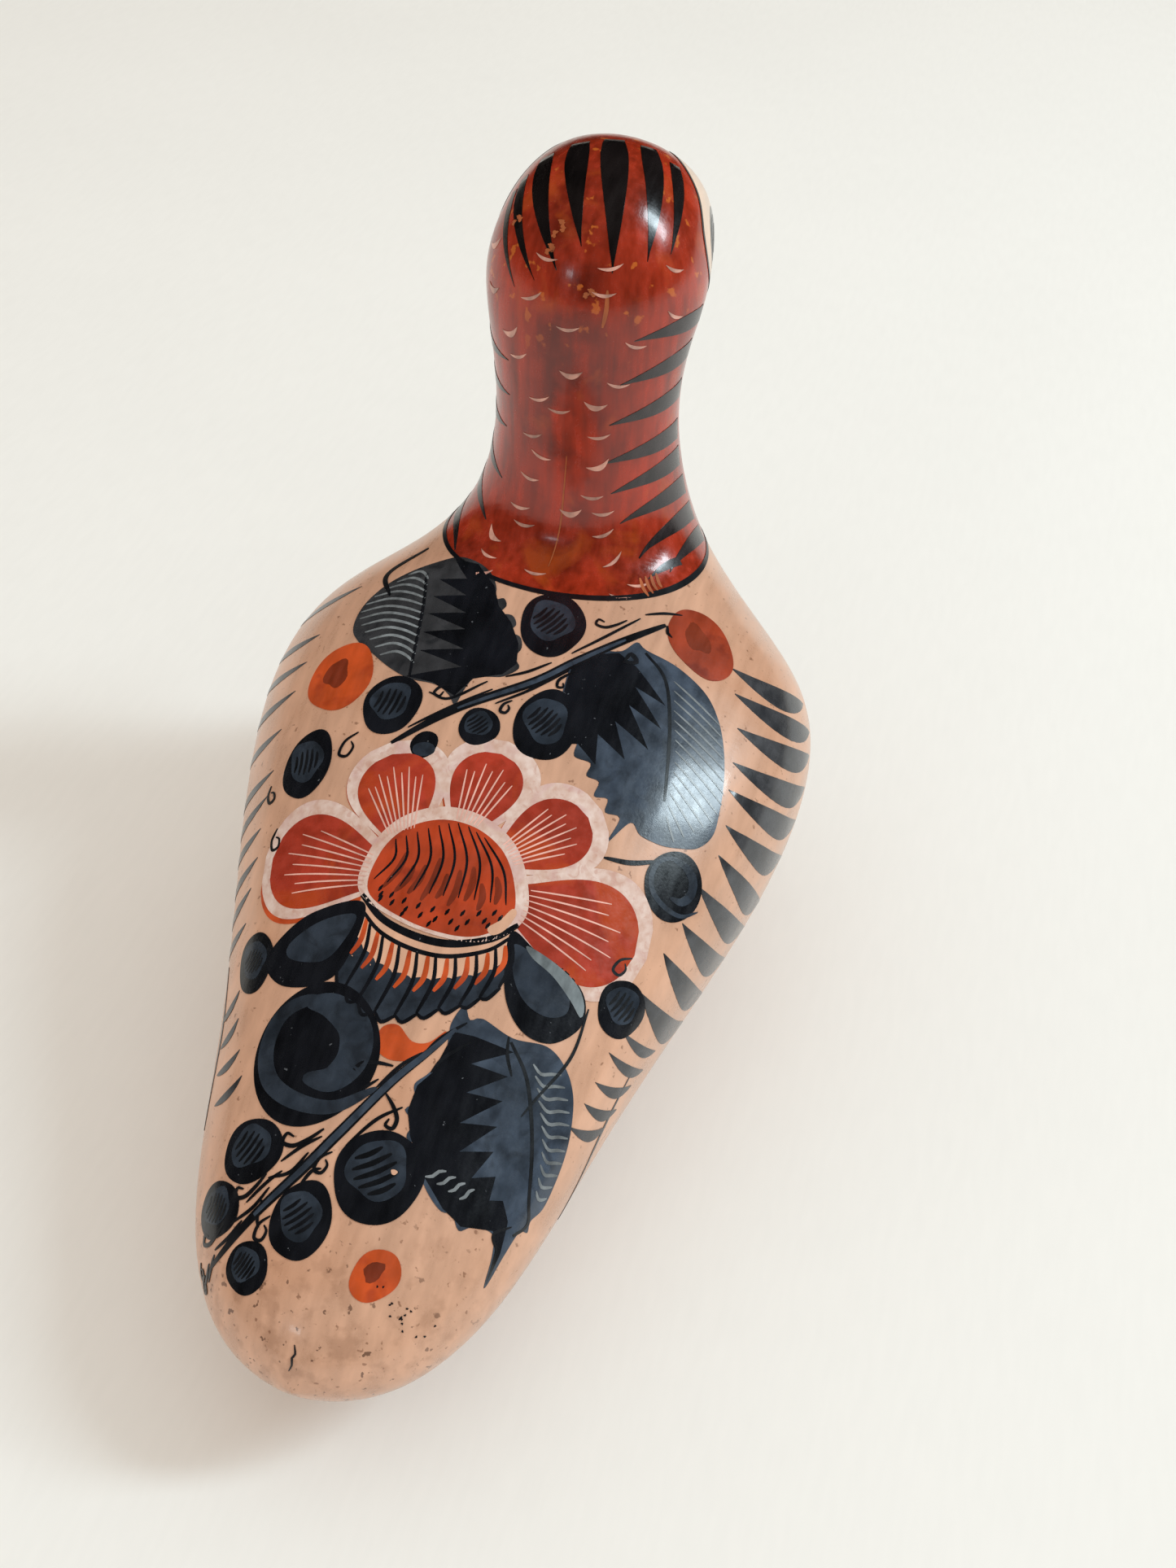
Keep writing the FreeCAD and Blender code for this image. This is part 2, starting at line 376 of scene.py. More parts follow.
def marks_tree():
    """Node tree: sets one dab on every point, lays it on the skin and gives it its slip."""
    tree = bpy.data.node_groups.new("Brush marks", "GeometryNodeTree")
    face = tree.interface
    face.new_socket(name="Geometry", in_out="INPUT", socket_type="NodeSocketGeometry")
    face.new_socket(name="Dab", in_out="INPUT", socket_type="NodeSocketObject")
    face.new_socket(name="Skin", in_out="INPUT", socket_type="NodeSocketObject")
    face.new_socket(name="Thickness", in_out="INPUT", socket_type="NodeSocketFloat")
    face.new_socket(name="Sink", in_out="INPUT", socket_type="NodeSocketFloat")
    face.new_socket(name="Slip", in_out="INPUT", socket_type="NodeSocketMaterial")
    face.new_socket(name="Geometry", in_out="OUTPUT", socket_type="NodeSocketGeometry")
    link = tree.links.new

    def node(kind, **values):
        made = tree.nodes.new(kind)
        for key, value in values.items():
            setattr(made, key, value)
        return made

    def attribute(name, kind):
        made = node("GeometryNodeInputNamedAttribute", data_type=kind)
        made.inputs["Name"].default_value = name
        return made.outputs["Attribute"]

    given = node("NodeGroupInput").outputs
    shape = node("GeometryNodeObjectInfo")
    skin = node("GeometryNodeObjectInfo")
    link(given["Dab"], shape.inputs["Object"])
    link(given["Skin"], skin.inputs["Object"])
    turn = node("FunctionNodeEulerToRotation")
    link(attribute("turn", "FLOAT_VECTOR"), turn.inputs["Euler"])
    place = node("GeometryNodeInstanceOnPoints")
    link(given["Geometry"], place.inputs["Points"])
    link(shape.outputs["Geometry"], place.inputs["Instance"])
    link(turn.outputs["Rotation"], place.inputs["Rotation"])
    link(attribute("size", "FLOAT_VECTOR"), place.inputs["Scale"])
    real = node("GeometryNodeRealizeInstances")
    link(place.outputs["Instances"], real.inputs["Geometry"])
    found = []
    position = node("GeometryNodeInputPosition").outputs["Position"]
    for source in (position, attribute("outward", "FLOAT_VECTOR")):
        near = node("GeometryNodeSampleNearestSurface", data_type="FLOAT_VECTOR")
        link(skin.outputs["Geometry"], near.inputs["Mesh"])
        link(source, near.inputs["Value"])
        found.append(near.outputs["Value"])
    rise = node("ShaderNodeMapRange", data_type="FLOAT")
    link(attribute("top", "FLOAT"), rise.inputs["Value"])
    link(given["Sink"], rise.inputs["To Min"])
    link(given["Thickness"], rise.inputs["To Max"])
    lift = node("ShaderNodeVectorMath", operation="SCALE")
    link(found[1], lift.inputs[0])
    link(rise.outputs["Result"], lift.inputs["Scale"])
    total = node("ShaderNodeVectorMath", operation="ADD")
    link(found[0], total.inputs[0])
    link(lift.outputs["Vector"], total.inputs[1])
    lay = node("GeometryNodeSetPosition")
    link(real.outputs["Geometry"], lay.inputs["Geometry"])
    link(total.outputs["Vector"], lay.inputs["Position"])
    slip_node = node("GeometryNodeSetMaterial")
    link(lay.outputs["Geometry"], slip_node.inputs["Geometry"])
    link(given["Slip"], slip_node.inputs["Material"])
    link(slip_node.outputs["Geometry"], node("NodeGroupOutput").inputs["Geometry"])
    return tree


def brush_marks(name, rows, shape, thickness, material):
    """Lays one dab for each row (s, a at its start, s, a at its end, width in mm), from start to end."""
    rows = np.array(rows, float)
    start, end = clay_point(rows[:, 0], rows[:, 1]), clay_point(rows[:, 2], rows[:, 3])
    p, _, _, n = clay_frame((rows[:, 0] + rows[:, 2]) / 2, (rows[:, 1] + rows[:, 3]) / 2)
    way = end - start
    length = np.linalg.norm(way, axis=1)
    way = way - (way * n).sum(1, keepdims=True) * n
    way /= np.linalg.norm(way, axis=1, keepdims=True)
    left = np.cross(n, way)
    turns = [Matrix(np.column_stack(axes).tolist()).to_euler() for axes in zip(way, left, n)]
    mesh = bpy.data.meshes.new(name + "_points")
    mesh.from_pydata((p * MM).tolist(), [], [])
    size = np.column_stack([length * MM, rows[:, 4] * MM, np.full(len(rows), MM)])
    mesh.attributes.new("turn", "FLOAT_VECTOR", "POINT").data.foreach_set("vector", np.array(turns).ravel())
    mesh.attributes.new("size", "FLOAT_VECTOR", "POINT").data.foreach_set("vector", size.ravel())
    holder = bpy.data.objects.new(name + "_points", mesh)
    bpy.context.scene.collection.objects.link(holder)
    guide = bpy.data.objects.get("skin_guide") or skin_guide()
    tree = bpy.data.node_groups.get("Brush marks") or marks_tree()
    modifier = holder.modifiers.new("marks", "NODES")
    modifier.node_group = tree
    values = {"Dab": shape, "Skin": guide, "Thickness": thickness * MM, "Sink": -SINK * MM, "Slip": material}
    for item in tree.interface.items_tree:
        if item.item_type == "SOCKET" and item.in_out == "INPUT" and item.name in values:
            modifier[item.identifier] = values[item.name]
    bpy.context.view_layer.update()
    ready = holder.evaluated_get(bpy.context.evaluated_depsgraph_get())
    made = bpy.data.meshes.new_from_object(ready)
    holder.modifiers.remove(modifier)
    bpy.data.objects.remove(holder)
    for spare in [item.name for item in made.attributes if item.name in ("top", "turn", "size")]:
        made.attributes.remove(made.attributes[spare])
    return finish(name, made, material)


def put_away(*objects):
    """Takes helper objects out of the scene."""
    for helper in objects:
        bpy.data.objects.remove(helper)


# ---------------------------------------------------------------- slips and clays

def linear(colour):
    """A picked colour as the light values that a shader needs."""
    return [c / 12.92 if c <= 0.04045 else ((c + 0.055) / 1.055) ** 2.4 for c in colour[:3]] + [1.0]


def shade(colour, factor):
    """A picked colour made darker or lighter."""
    return [min(1.0, c * factor) for c in colour[:3]]


class Slip:
    """A burnished slip: two tones mixed by broad clouds and lengthwise rubbing streaks, with fine relief."""

    def __init__(self, name, tone, second, rough, clouds=55.0, streaks=(420.0, 70.0, 200.0),
                 streak_share=0.45, relief=0.12, polish=0.28):
        self.material = bpy.data.materials.new(name)
        self.material.use_nodes = True
        self.tree = self.material.node_tree
        self.shader = self.tree.nodes["Principled BSDF"]
        self.where = self.node("ShaderNodeTexCoord").outputs["Object"]
        self.clouds = self.noise(clouds, 4.0)
        stretched = self.node("ShaderNodeVectorMath", operation="MULTIPLY")
        self.link(self.where, stretched.inputs[0])
        stretched.inputs[1].default_value = streaks
        self.streaks = self.noise(1.0, 5.0, stretched.outputs["Vector"])
        cloudy, streaky = self.scaled(self.clouds, 1 - streak_share), self.scaled(self.streaks, streak_share)
        both = self.math("ADD", cloudy, streaky)
        self.blend = self.spread(both, 0.36, 0.64)
        self.colour = self.mix(self.blend, linear(tone), linear(second))
        grain = self.noise(1400.0, 3.0)
        rubbing = self.math("ADD", self.scaled(self.streaks, 0.7), self.scaled(grain, 0.3))
        self.link(self.spread(rubbing, 0.3, 0.7, max(0.05, rough - 0.07), rough + 0.12),
                  self.shader.inputs["Roughness"])
        self.shader.inputs["Coat Weight"].default_value = polish
        self.shader.inputs["Coat Roughness"].default_value = 0.09
        bump = self.node("ShaderNodeBump")
        bump.inputs["Strength"].default_value = relief
        bump.inputs["Distance"].default_value = 0.0004
        self.link(self.math("ADD", self.streaks, self.scaled(grain, 0.35)), bump.inputs["Height"])
        self.link(bump.outputs["Normal"], self.shader.inputs["Normal"])

    def node(self, kind, **values):
        made = self.tree.nodes.new(kind)
        for key, value in values.items():
            setattr(made, key, value)
        return made

    def link(self, source, target):
        self.tree.links.new(source, target)

    def noise(self, scale, detail, where=None, distortion=0.0):
        made = self.node("ShaderNodeTexNoise")
        self.link(where or self.where, made.inputs["Vector"])
        made.inputs["Scale"].default_value = scale
        made.inputs["Detail"].default_value = detail
        made.inputs["Distortion"].default_value = distortion
        return made.outputs["Fac"]

    def math(self, operation, first, second=None):
        made = self.node("ShaderNodeMath", operation=operation)
        for socket, value in zip(made.inputs, (first, second)):
            if isinstance(value, (int, float)):
                socket.default_value = value
            elif value is not None:
                self.link(value, socket)
        return made.outputs["Value"]

    def scaled(self, value, factor):
        return self.math("MULTIPLY", value, factor)

    def spread(self, value, low, high, to_low=0.0, to_high=1.0):
        """Maps low..high of a value to to_low..to_high, and no further."""
        made = self.node("ShaderNodeMapRange")
        self.link(value, made.inputs["Value"])
        for name, number in (("From Min", low), ("From Max", high), ("To Min", to_low), ("To Max", to_high)):
            made.inputs[name].default_value = number
        return made.outputs["Result"]

    def mix(self, factor, first, second):
        made = self.node("ShaderNodeMix", data_type="RGBA")
        self.link(factor, made.inputs["Factor"])
        for name, value in (("A", first), ("B", second)):
            socket = [item for item in made.inputs if item.name == name and item.type == "RGBA"][0]
            if isinstance(value, (list, tuple)):
                socket.default_value = value
            else:
                self.link(value, socket)
        return [item for item in made.outputs if item.type == "RGBA"][0]

    def over(self, factor, colour):
        """Lays another tone over what is there, where factor is 1."""
        self.colour = self.mix(factor, self.colour, linear(colour))

    def axis(self, name):
        made = self.node("ShaderNodeSeparateXYZ")
        self.link(self.where, made.inputs["Vector"])
        return made.outputs[name]

    def done(self):
        self.link(self.colour, self.shader.inputs["Base Color"])
        return self.material


def cream_ground(colours):
    """Cream ground: rubbed lengthwise, with pinholes, brown smudges, and more dirt towards the tail."""
    slip = Slip("cream ground slip", shade(colours.cream, 0.93), shade(colours.cream, 1.06), 0.29,
                clouds=38.0, streaks=(330.0, 45.0, 160.0), streak_share=0.6)
    smudge = slip.spread(slip.noise(24.0, 6.0, distortion=0.6), 0.56, 0.72, 0.0, 0.45)
    slip.over(smudge, (0.74, 0.52, 0.38))
    pinholes = slip.spread(slip.noise(620.0, 2.0), 0.67, 0.73, 0.0, 0.6)
    slip.over(pinholes, (0.44, 0.27, 0.17))
    tail = slip.spread(slip.axis("Y"), 0.095, 0.135)
    dirt = slip.math("MULTIPLY", slip.spread(slip.noise(210.0, 5.0), 0.52, 0.64), tail)
    slip.over(slip.scaled(dirt, 0.28), (0.50, 0.33, 0.23))
    specks = slip.math("MULTIPLY", slip.spread(slip.noise(480.0, 3.0), 0.66, 0.69), tail)
    slip.over(slip.scaled(specks, 0.75), (0.30, 0.18, 0.12))
    return slip.done()


def red_ground(colours):
    """Red slip of the neck and head: darker down the nape, with orange bare patches and streaks."""
    slip = Slip("red neck slip", shade(colours.red, 0.74), shade(colours.red, 1.15), 0.21, clouds=60.0,
                streaks=(420.0, 300.0, 60.0), streak_share=0.5)
    side = slip.math("ABSOLUTE", slip.axis("X"))
    nape = slip.spread(side, 0.003, 0.013, 1.0, 0.0)
    back = slip.spread(slip.axis("Y"), -0.095, -0.065)
    mottle = slip.spread(slip.noise(90.0, 5.0), 0.40, 0.62)
    shadow = slip.math("MULTIPLY", slip.math("MULTIPLY", nape, back), mottle)
    slip.over(slip.scaled(shadow, 0.92), (0.36, 0.085, 0.02))
    rubbed = slip.spread(slip.noise(70.0, 6.0, distortion=0.8), 0.56, 0.70, 0.0, 0.5)
    slip.over(rubbed, (0.72, 0.31, 0.10))
    flecks = slip.math("MULTIPLY", slip.spread(slip.noise(260.0, 6.0), 0.63, 0.67),
                       slip.spread(slip.axis("Z"), 0.172, 0.196))
    slip.over(slip.scaled(flecks, 0.7), (0.78, 0.42, 0.16))
    return slip.done()


def plain_slip(name, colour, spread=(0.85, 1.15), rough=0.3, **extra):
    """A slip of one colour in two tones."""
    return Slip(name, shade(colour, spread[0]), shade(colour, spread[1]), rough, **extra).done()


def black_slip(colours):
    """Near-black slip, thinner in places so that it turns blue-grey, with tiny pale pits."""
    slip = Slip("black slip", colours.black, shade(colours.black, 1.9), 0.23, clouds=85.0)
    pits = slip.spread(slip.noise(700.0, 2.0), 0.735, 0.75, 0.0, 0.6)
    slip.over(pits, (0.42, 0.44, 0.47))
    return slip.done()


def wash_slip(name, colour, cloud=(0.10, 0.11, 0.13)):
    """Blue-grey wash with darker brush clouds."""
    slip = Slip(name, shade(colour, 0.8), shade(colour, 1.25), 0.23, clouds=120.0,
                streaks=(260.0, 120.0, 260.0))
    slip.over(slip.spread(slip.noise(160.0, 5.0, distortion=1.0), 0.5, 0.68, 0.0, 0.55), cloud)
    return slip.done()


def veil_slip(colours):
    """Whitish lilac slip put on thin: the cream ground shows in its streaks."""
    slip = Slip("whitish veil slip", (0.80, 0.66, 0.60), colours.white, 0.36, clouds=140.0,
                streaks=(500.0, 380.0, 500.0), streak_share=0.55)
    slip.over(slip.spread(slip.noise(330.0, 5.0, distortion=1.5), 0.56, 0.66, 0.0, 0.4), (0.74, 0.52, 0.45))
    slip.over(slip.spread(slip.noise(85.0, 5.0, distortion=1.2), 0.52, 0.64, 0.0, 0.5), (0.80, 0.64, 0.64))
    return slip.done()


def petal_slip(colours):
    """Rust-pink slip, redder and browner in clouds."""
    slip = Slip("petal slip", shade(colours.petal, 0.88), shade(colours.petal, 1.1), 0.25, clouds=75.0,
                streaks=(300.0, 300.0, 300.0), streak_share=0.35)
    slip.over(slip.spread(slip.noise(95.0, 5.0, distortion=0.7), 0.55, 0.68, 0.0, 0.55), (0.50, 0.17, 0.08))
    slip.over(slip.spread(slip.noise(48.0, 4.0, distortion=1.2), 0.53, 0.66, 0.0, 0.6), (0.74, 0.29, 0.08))
    return slip.done()


def spot_slip(name, colour, dark):
    """Orange or rust spot slip with a darker pool."""
    slip = Slip(name, shade(colour, 0.9), shade(colour, 1.12), 0.33, clouds=110.0, streak_share=0.3)
    slip.over(slip.spread(slip.noise(130.0, 4.0), 0.55, 0.66, 0.0, 0.6), dark)
    return slip.done()


# ---------------------------------------------------------------- what is painted

FLOWER = (225.0, 0.5)
UPPER = (325.0, 5.0)
LOWER = (112.0, -8.0)
LEAF_C = (141.0, 40.0)
SHEET, MIDDLE, OVER, LINE = 0.10, 0.15, 0.20, 0.24


def petal_outline(base, tip, width, grow=0.0, shift=(0.0, 0.0)):
    """A petal from its narrow foot to its round end, grow mm bigger all round."""
    base, tip = np.array(base, float) + shift, np.array(tip, float) + shift
    way = tip - base
    length = np.linalg.norm(way)
    way /= length
    side = np.array([way[1], -way[0]])
    base, length, half = base - way * grow * 0.3, length + grow * 1.3, width / 2 + grow
    t = np.linspace(0, 1, 26)
    swell = np.where(t < 0.62, 0.36 + 0.64 * np.sin(np.pi / 2 * t / 0.62) ** 1.2,
                     np.sqrt(np.clip(1 - ((t - 0.62) / 0.38) ** 2, 0, 1)))
    left = base + way * (t * length)[:, None] - side * (half * swell)[:, None]
    right = base + way * (t * length)[:, None] + side * (half * swell)[:, None]
    return np.vstack([right, left[-2::-1]])


def petal_rays(coat, base, tip, width, count, lift):
    """White lines that fan out from a petal's foot, each with a thicker end."""
    base, tip = np.array(base, float), np.array(tip, float)
    way = tip - base
    side = np.array([way[1], -way[0]]) / np.linalg.norm(way)
    for i in range(count):
        k = 2 * (i + 0.5) / count - 1
        reach = 0.84 - 0.22 * k * k - 0.08 * (i % 2)
        points = [base + way * f + side * (width / 2 * k * (0.30 + 0.62 * f / 0.84))
                  for f in (0.08, 0.4 * reach / 0.84, reach)]
        coat.line(FLOWER, points, 0.42, lift, taper=0.5)


PETALS = (((-17.0, -2.0), (-49.5, -1.0), 25.0, 8, (-1.5, -3.0)),
          ((-13.5, 7.5), (-23.5, 29.5), 20.0, 9, (-2.5, 0.5)),
          ((0.5, 13.0), (3.5, 35.0), 17.5, 7, (-2.0, 1.5)),
          ((11.5, 8.0), (28.5, 24.5), 18.0, 8, (-0.5, 3.0)),
          ((17.5, -1.5), (50.0, -4.0), 25.5, 7, (0.5, -0.5)))
DOME = ((-17.5, -7.5), (-18, 2), (-14, 9.5), (-6, 14), (3, 14), (11, 10), (16, 3), (18, -5), (13.5, -11),
        (6, -13.5), (-6, -12.5))
DOME_TOP, DOME_END = ((-15, 7), (-2, 14), (6, 12)), ((-16, -4), (-3, -5), (15, -3))
ARC = ((-19, -8.5), (-12, -13.5), (-3, -16), (6, -15.8), (15, -12), (20, -7))
HEM = ((-19.5, -27), (-13, -33), (-6, -35.5), (1, -34.5), (8, -31), (14, -28), (20, -22.5))


def on_line(points, t):
    """A place at share t of a smooth line."""
    line = smooth_line(points, 0.5)
    place = t * (len(line) - 1)
    low = int(min(place, len(line) - 2))
    return line[low] + (line[low + 1] - line[low]) * (place - low)


def paint_flower(slips):
    """Five petals, their whitish veil, the dome, and the pleated cup under it."""
    veil, orange, petals, rays = Coat(), Coat(), Coat(), Coat()
    for i, (base, tip, width, count, shift) in enumerate(PETALS):
        orange.patch(FLOWER, petal_outline(base, tip, width, 1.0, shift), SHEET - 0.02 + 0.004 * i)
        veil.patch(FLOWER, petal_outline(base, tip, width, 3.4, (0.3, 0.6)), SHEET + 0.03 + 0.004 * i)
        petals.patch(FLOWER, petal_outline(base, tip, width), MIDDLE + 0.02 + 0.003 * i)
        petal_rays(rays, base, tip, width, count, LINE)
    rim = [(1.16 * x + 0.2, 1.16 * y + 1.2) for x, y in DOME]
    veil.patch(FLOWER, smooth_line(rim, closed=True), MIDDLE + 0.05)
    orange.piece("flower_orange_under_petals", slips["orange"])
    veil.piece("flower_whitish_veil", slips["veil"])
    petals.piece("flower_petals", slips["petal"])
    rays.piece("flower_petal_rays", slips["white"])

    dome, lines, dots = Coat(), Coat(), Coat()
    dome.patch(FLOWER, smooth_line(DOME, closed=True), OVER + 0.03)
    brown = Coat()
    for i in range(9):
        t = (i + 0.5) / 9
        foot = on_line(DOME_END, t) + (0, -1.5 - 1.2 * math.sin(3 * i))
        head = foot * (0.82, 0) + (0.8, 2.5 + 2.0 * math.cos(2.2 * i))
        brown.line(FLOWER, [foot, (foot + head) / 2 + (0.7, 0), head], 1.7, LINE + 0.01)
    brown.piece("flower_dome_brown_strokes", slips["rust"])
    for i in range(10):
        t = i / 9
        head, foot = on_line(DOME_TOP, t), on_line(DOME_END, t)
        bow = (head + foot) / 2 + (1.7 + 0.6 * t, 0.5)
        lines.line(FLOWER, [head, bow, foot + (0.8 - 2.0 * (1 - t), 0)], 0.6, LINE + 0.04)
    for row, (share, count) in enumerate(((0.45, 9), (0.72, 9), (0.9, 5))):
        for i in range(count):
            t = (i + 0.5 + 0.25 * (row % 2)) / (count + 0.3)
            x, y = on_line(DOME_END, t)
            low = on_line(ARC, 0.06 + 0.86 * t) + (0, 3.2)
            spot = np.array([x, y]) * (1 - share) + low * share
            dots.line(FLOWER, [spot + (0.35, 0.9), spot, spot - (0.3, 0.8)], 0.85, LINE + 0.04)
    dome.piece("flower_dome", slips["dome"])

    arcs, cup, pale, cup_dark = Coat(), Coat(), Coat(), Coat()
    pale_edge = smooth_line(ARC, 1.0)
    pale.patch(FLOWER, np.vstack([pale_edge, (on_line(HEM, 1.0) + (-1, 8))[None],
                                  smooth_line(HEM, 1.0)[::-1] * (0.97, 0.86)]), SHEET + 0.045)
    pale.piece("flower_cup_cream", slips["cream_paint"])
    arcs.line(FLOWER, [(x, y + 0.2) for x, y in ARC], 1.9, OVER, taper=0.6)
    arcs.line(FLOWER, [(x * 0.97, y - 3.0) for x, y in ARC], 1.1, OVER, taper=0.6)
    cells = 9
    for i in range(cells + 1):
        t = i / cells
        head, foot = on_line(ARC, 0.02 + 0.96 * t) - (0, 2.6), on_line(HEM, t)
        arcs.line(FLOWER, [head, (head + foot) / 2 + (1.4, 0.6), foot], 0.95, OVER + 0.02, taper=0.6)
        if i == cells:
            continue
        head2, foot2 = on_line(ARC, 0.02 + 0.96 * (i + 1) / cells) - (0, 2.6), on_line(HEM, (i + 1) / cells)
        upper = head + (foot - head) * 0.46 + (1.0, 0.4)
        upper2 = head2 + (foot2 - head2) * 0.46 + (0.9, 0.4)
        low = (foot + foot2) / 2 + (foot - head + foot2 - head2) / 2 * 0.10
        cup.patch(FLOWER, smooth_line([upper, upper2, (upper2 + foot2) / 2 + (0.3, 0), foot2, low, foot,
                                       (upper + foot) / 2 + (0.3, 0)], 1.0, closed=True), MIDDLE + 0.002 * i)
        arcs.line(FLOWER, [foot, low - (0.2, 0.5), foot2 + (0.3, 0)], 0.9, OVER + 0.02, taper=0.6)
        cup_dark.line(FLOWER, [(head + head2) / 2 + (0.6, -0.6), (upper + upper2) / 2 + (0.4, 0.6),
                               (upper + upper2) / 2 + (-1.1, -3.2)], 1.3, OVER - 0.01, taper=0.5)
    cup.piece("flower_cup_grey", slips["leaf_wash"])
    cup_dark.piece("flower_cup_orange_strokes", slips["orange"])

    side_black, side_wash, side_veil = Coat(), Coat(), Coat()
    side_black.patch(FLOWER, smooth_line([(-17.5, -10.5), (-30, -14), (-38, -21), (-41, -28), (-34, -33),
                                          (-24, -32), (-18, -26)], closed=True), OVER - 0.03)
    side_wash.patch(FLOWER, smooth_line([(-19, -13.5), (-28, -16.5), (-35, -23), (-33, -26.5), (-24, -26),
                                         (-20, -20.5)], closed=True), OVER + 0.01)
    side_black.patch(FLOWER, smooth_line([(18.8, -9), (26, -11.5), (35, -14), (41, -18.5), (42, -25),
                                          (36, -31), (28, -30.5), (21.5, -23)], closed=True), OVER - 0.02)
    side_wash.patch(FLOWER, smooth_line([(20.5, -11.5), (29, -14), (36, -18), (37.5, -23), (33, -25.5),
                                         (27, -24), (22.5, -19)], closed=True), OVER + 0.01)
    side_veil.patch(FLOWER, smooth_line([(23.5, -11), (31, -12.8), (38, -16), (41.3, -20), (41.2, -22.8),
                                         (37.5, -20), (31.5, -16), (25.5, -13.4)], closed=True), OVER + 0.04)
    side_wash.piece("flower_side_leaves_wash", slips["leaf_wash"])
    side_black.piece("flower_side_leaves", slips["black"])
    side_veil.piece("flower_side_leaf_veil", slips["pale_blue"])
    lines.piece("flower_dome_lines", slips["black"])
    dots.piece("flower_dome_dots", slips["black"])
    arcs.piece("flower_cup_lines", slips["black"])


LEAF_A_EDGE = ((-57, 11), (-57.5, 19), (-54, 27), (-48, 33), (-41, 37), (-35, 39), (-28, 37), (-23, 33.5),
               (-20, 29), (-18.5, 24.5), (-16.5, 25), (-15, 22.5), (-16, 19.5), (-12.5, 19.5),
               (-10.5, 16.5), (-12, 13.5), (-8.5, 13), (-6.8, 9.5), (-7.5, 6), (-5.5, 3), (-8.5, -0.5),
               (-12, -1.5), (-15.5, -2.5), (-17, -6), (-18, -11.5), (-20.5, -9), (-25, -6.5), (-33, -5.5),
               (-40, -2.5), (-47, 2), (-53, 6))
LEAF_B_EDGE = ((7, 8), (9, 12), (13, 15), (18, 17), (21, 21.5), (24, 20), (33, 18.5), (42, 14.5), (47.5, 9),
               (51.5, 2), (54.5, -6), (56.5, -15), (57, -22), (54, -27), (49, -29.5), (44, -31), (38, -31),
               (34.5, -29), (30.5, -36), (31.5, -29), (27.5, -29), (27, -25.5), (23.5, -26), (23.5, -22),
               (20, -21.5), (20, -18), (15.5, -17.5), (15, -13), (12.5, -15.5), (9, -9), (7.5, -3), (7, 3))
LEAF_C_EDGE = ((-20, 19), (-19, 24), (-16.5, 21.5), (-14, 23), (-6, 22), (2, 24), (8, 22), (13, 17.5),
               (16.5, 11), (18.5, 5), (19.5, -2), (19.5, -8), (17.5, -12), (18.3, -14.5), (15.8, -15.5),
               (14.8, -22), (14.2, -30), (11.5, -22.5), (9, -19), (4, -20), (1.5, -22), (-1.5, -19.5),
               (-4, -20), (-8, -18), (-11.5, -15), (-14.5, -12), (-14, -9.5), (-18, -8.5), (-18, -5),
               (-21, -3), (-19.5, -0.5), (-21.5, 3), (-19.5, 7), (-18.5, 13))
RIB_A, RIB_B, RIB_C = ((-42, 32), (-37.5, 18), (-33, -5)), ((24, 19), (31, 13), (36, 0), (41, -20)), \
    ((-6, 21), (1, 15), (8, 4), (14, -8), (17, -13), (14.5, -17))
DARK_A = (((-36, 38), (-28, 36.5), (-20.5, 29), (-17, 22), (-12, 17), (-8, 10.5), (-6.5, 4), (-9, 0),
          (-16, -3), (-19, -9), (-26, -6), (-34, -5)), ((-20, 0), (-23, 12), (-29, 30.5)), ((-32.5, 0.5),
          (-35, 14), (-37.5, 33)), 5)
DARK_B = (((12.5, -15), (9.2, -9), (7.8, -3), (7.3, 3), (7.3, 8), (11, 13), (17.5, 16)), ((23, 13.5),
          (24.5, 3), (21, -7), (15.3, -14)), ((32.5, 9), (34, -2), (31, -11), (18, -20)), 5)
DARK_C = (((13.5, -22), (14, -29), (11.8, -22), (9, -18.4), (1.5, -21), (-4, -19.3), (-11, -14.6),
          (-17.3, -8), (-20.3, -3), (-20.8, 3), (-19, 7), (-18.5, 17.5)), ((-14, 18.5), (-10.7, 8),
          (-7, -5), (0, -11), (11.5, -15)), ((-5, 22), (-2, 8), (2, -5), (10, -13.5)), 7)


def toothed(edge, roots, tips, count):
    """A leaf's dark half: its outer edge, then count pointed teeth between lines of roots and tips."""
    outline = [np.array(point, float) for point in edge]
    for i in range(count):
        outline += [on_line(roots, i / count), on_line(tips, (i + 0.5) / count)]
    return np.array(outline + [on_line(roots, 1.0)])


def veins(coat, place, roots, ends, count, width, lift, bow=(0.0, 0.0), wave=0.0):
    """Pale lines from a leaf's rib to its edge, with count of them spread along both."""
    for i in range(count):
        t = (i + 0.5) / count
        start, end = on_line(roots, t), on_line(ends, t)
        across = np.array([end[1] - start[1], start[0] - end[0]]) / 6
        points = [start, start + (end - start) * 0.33 + np.array(bow) * 0.8 + across * wave,
                  start + (end - start) * 0.66 + bow - across * wave, end]
        coat.line(place, points, width, lift, taper=0.4)


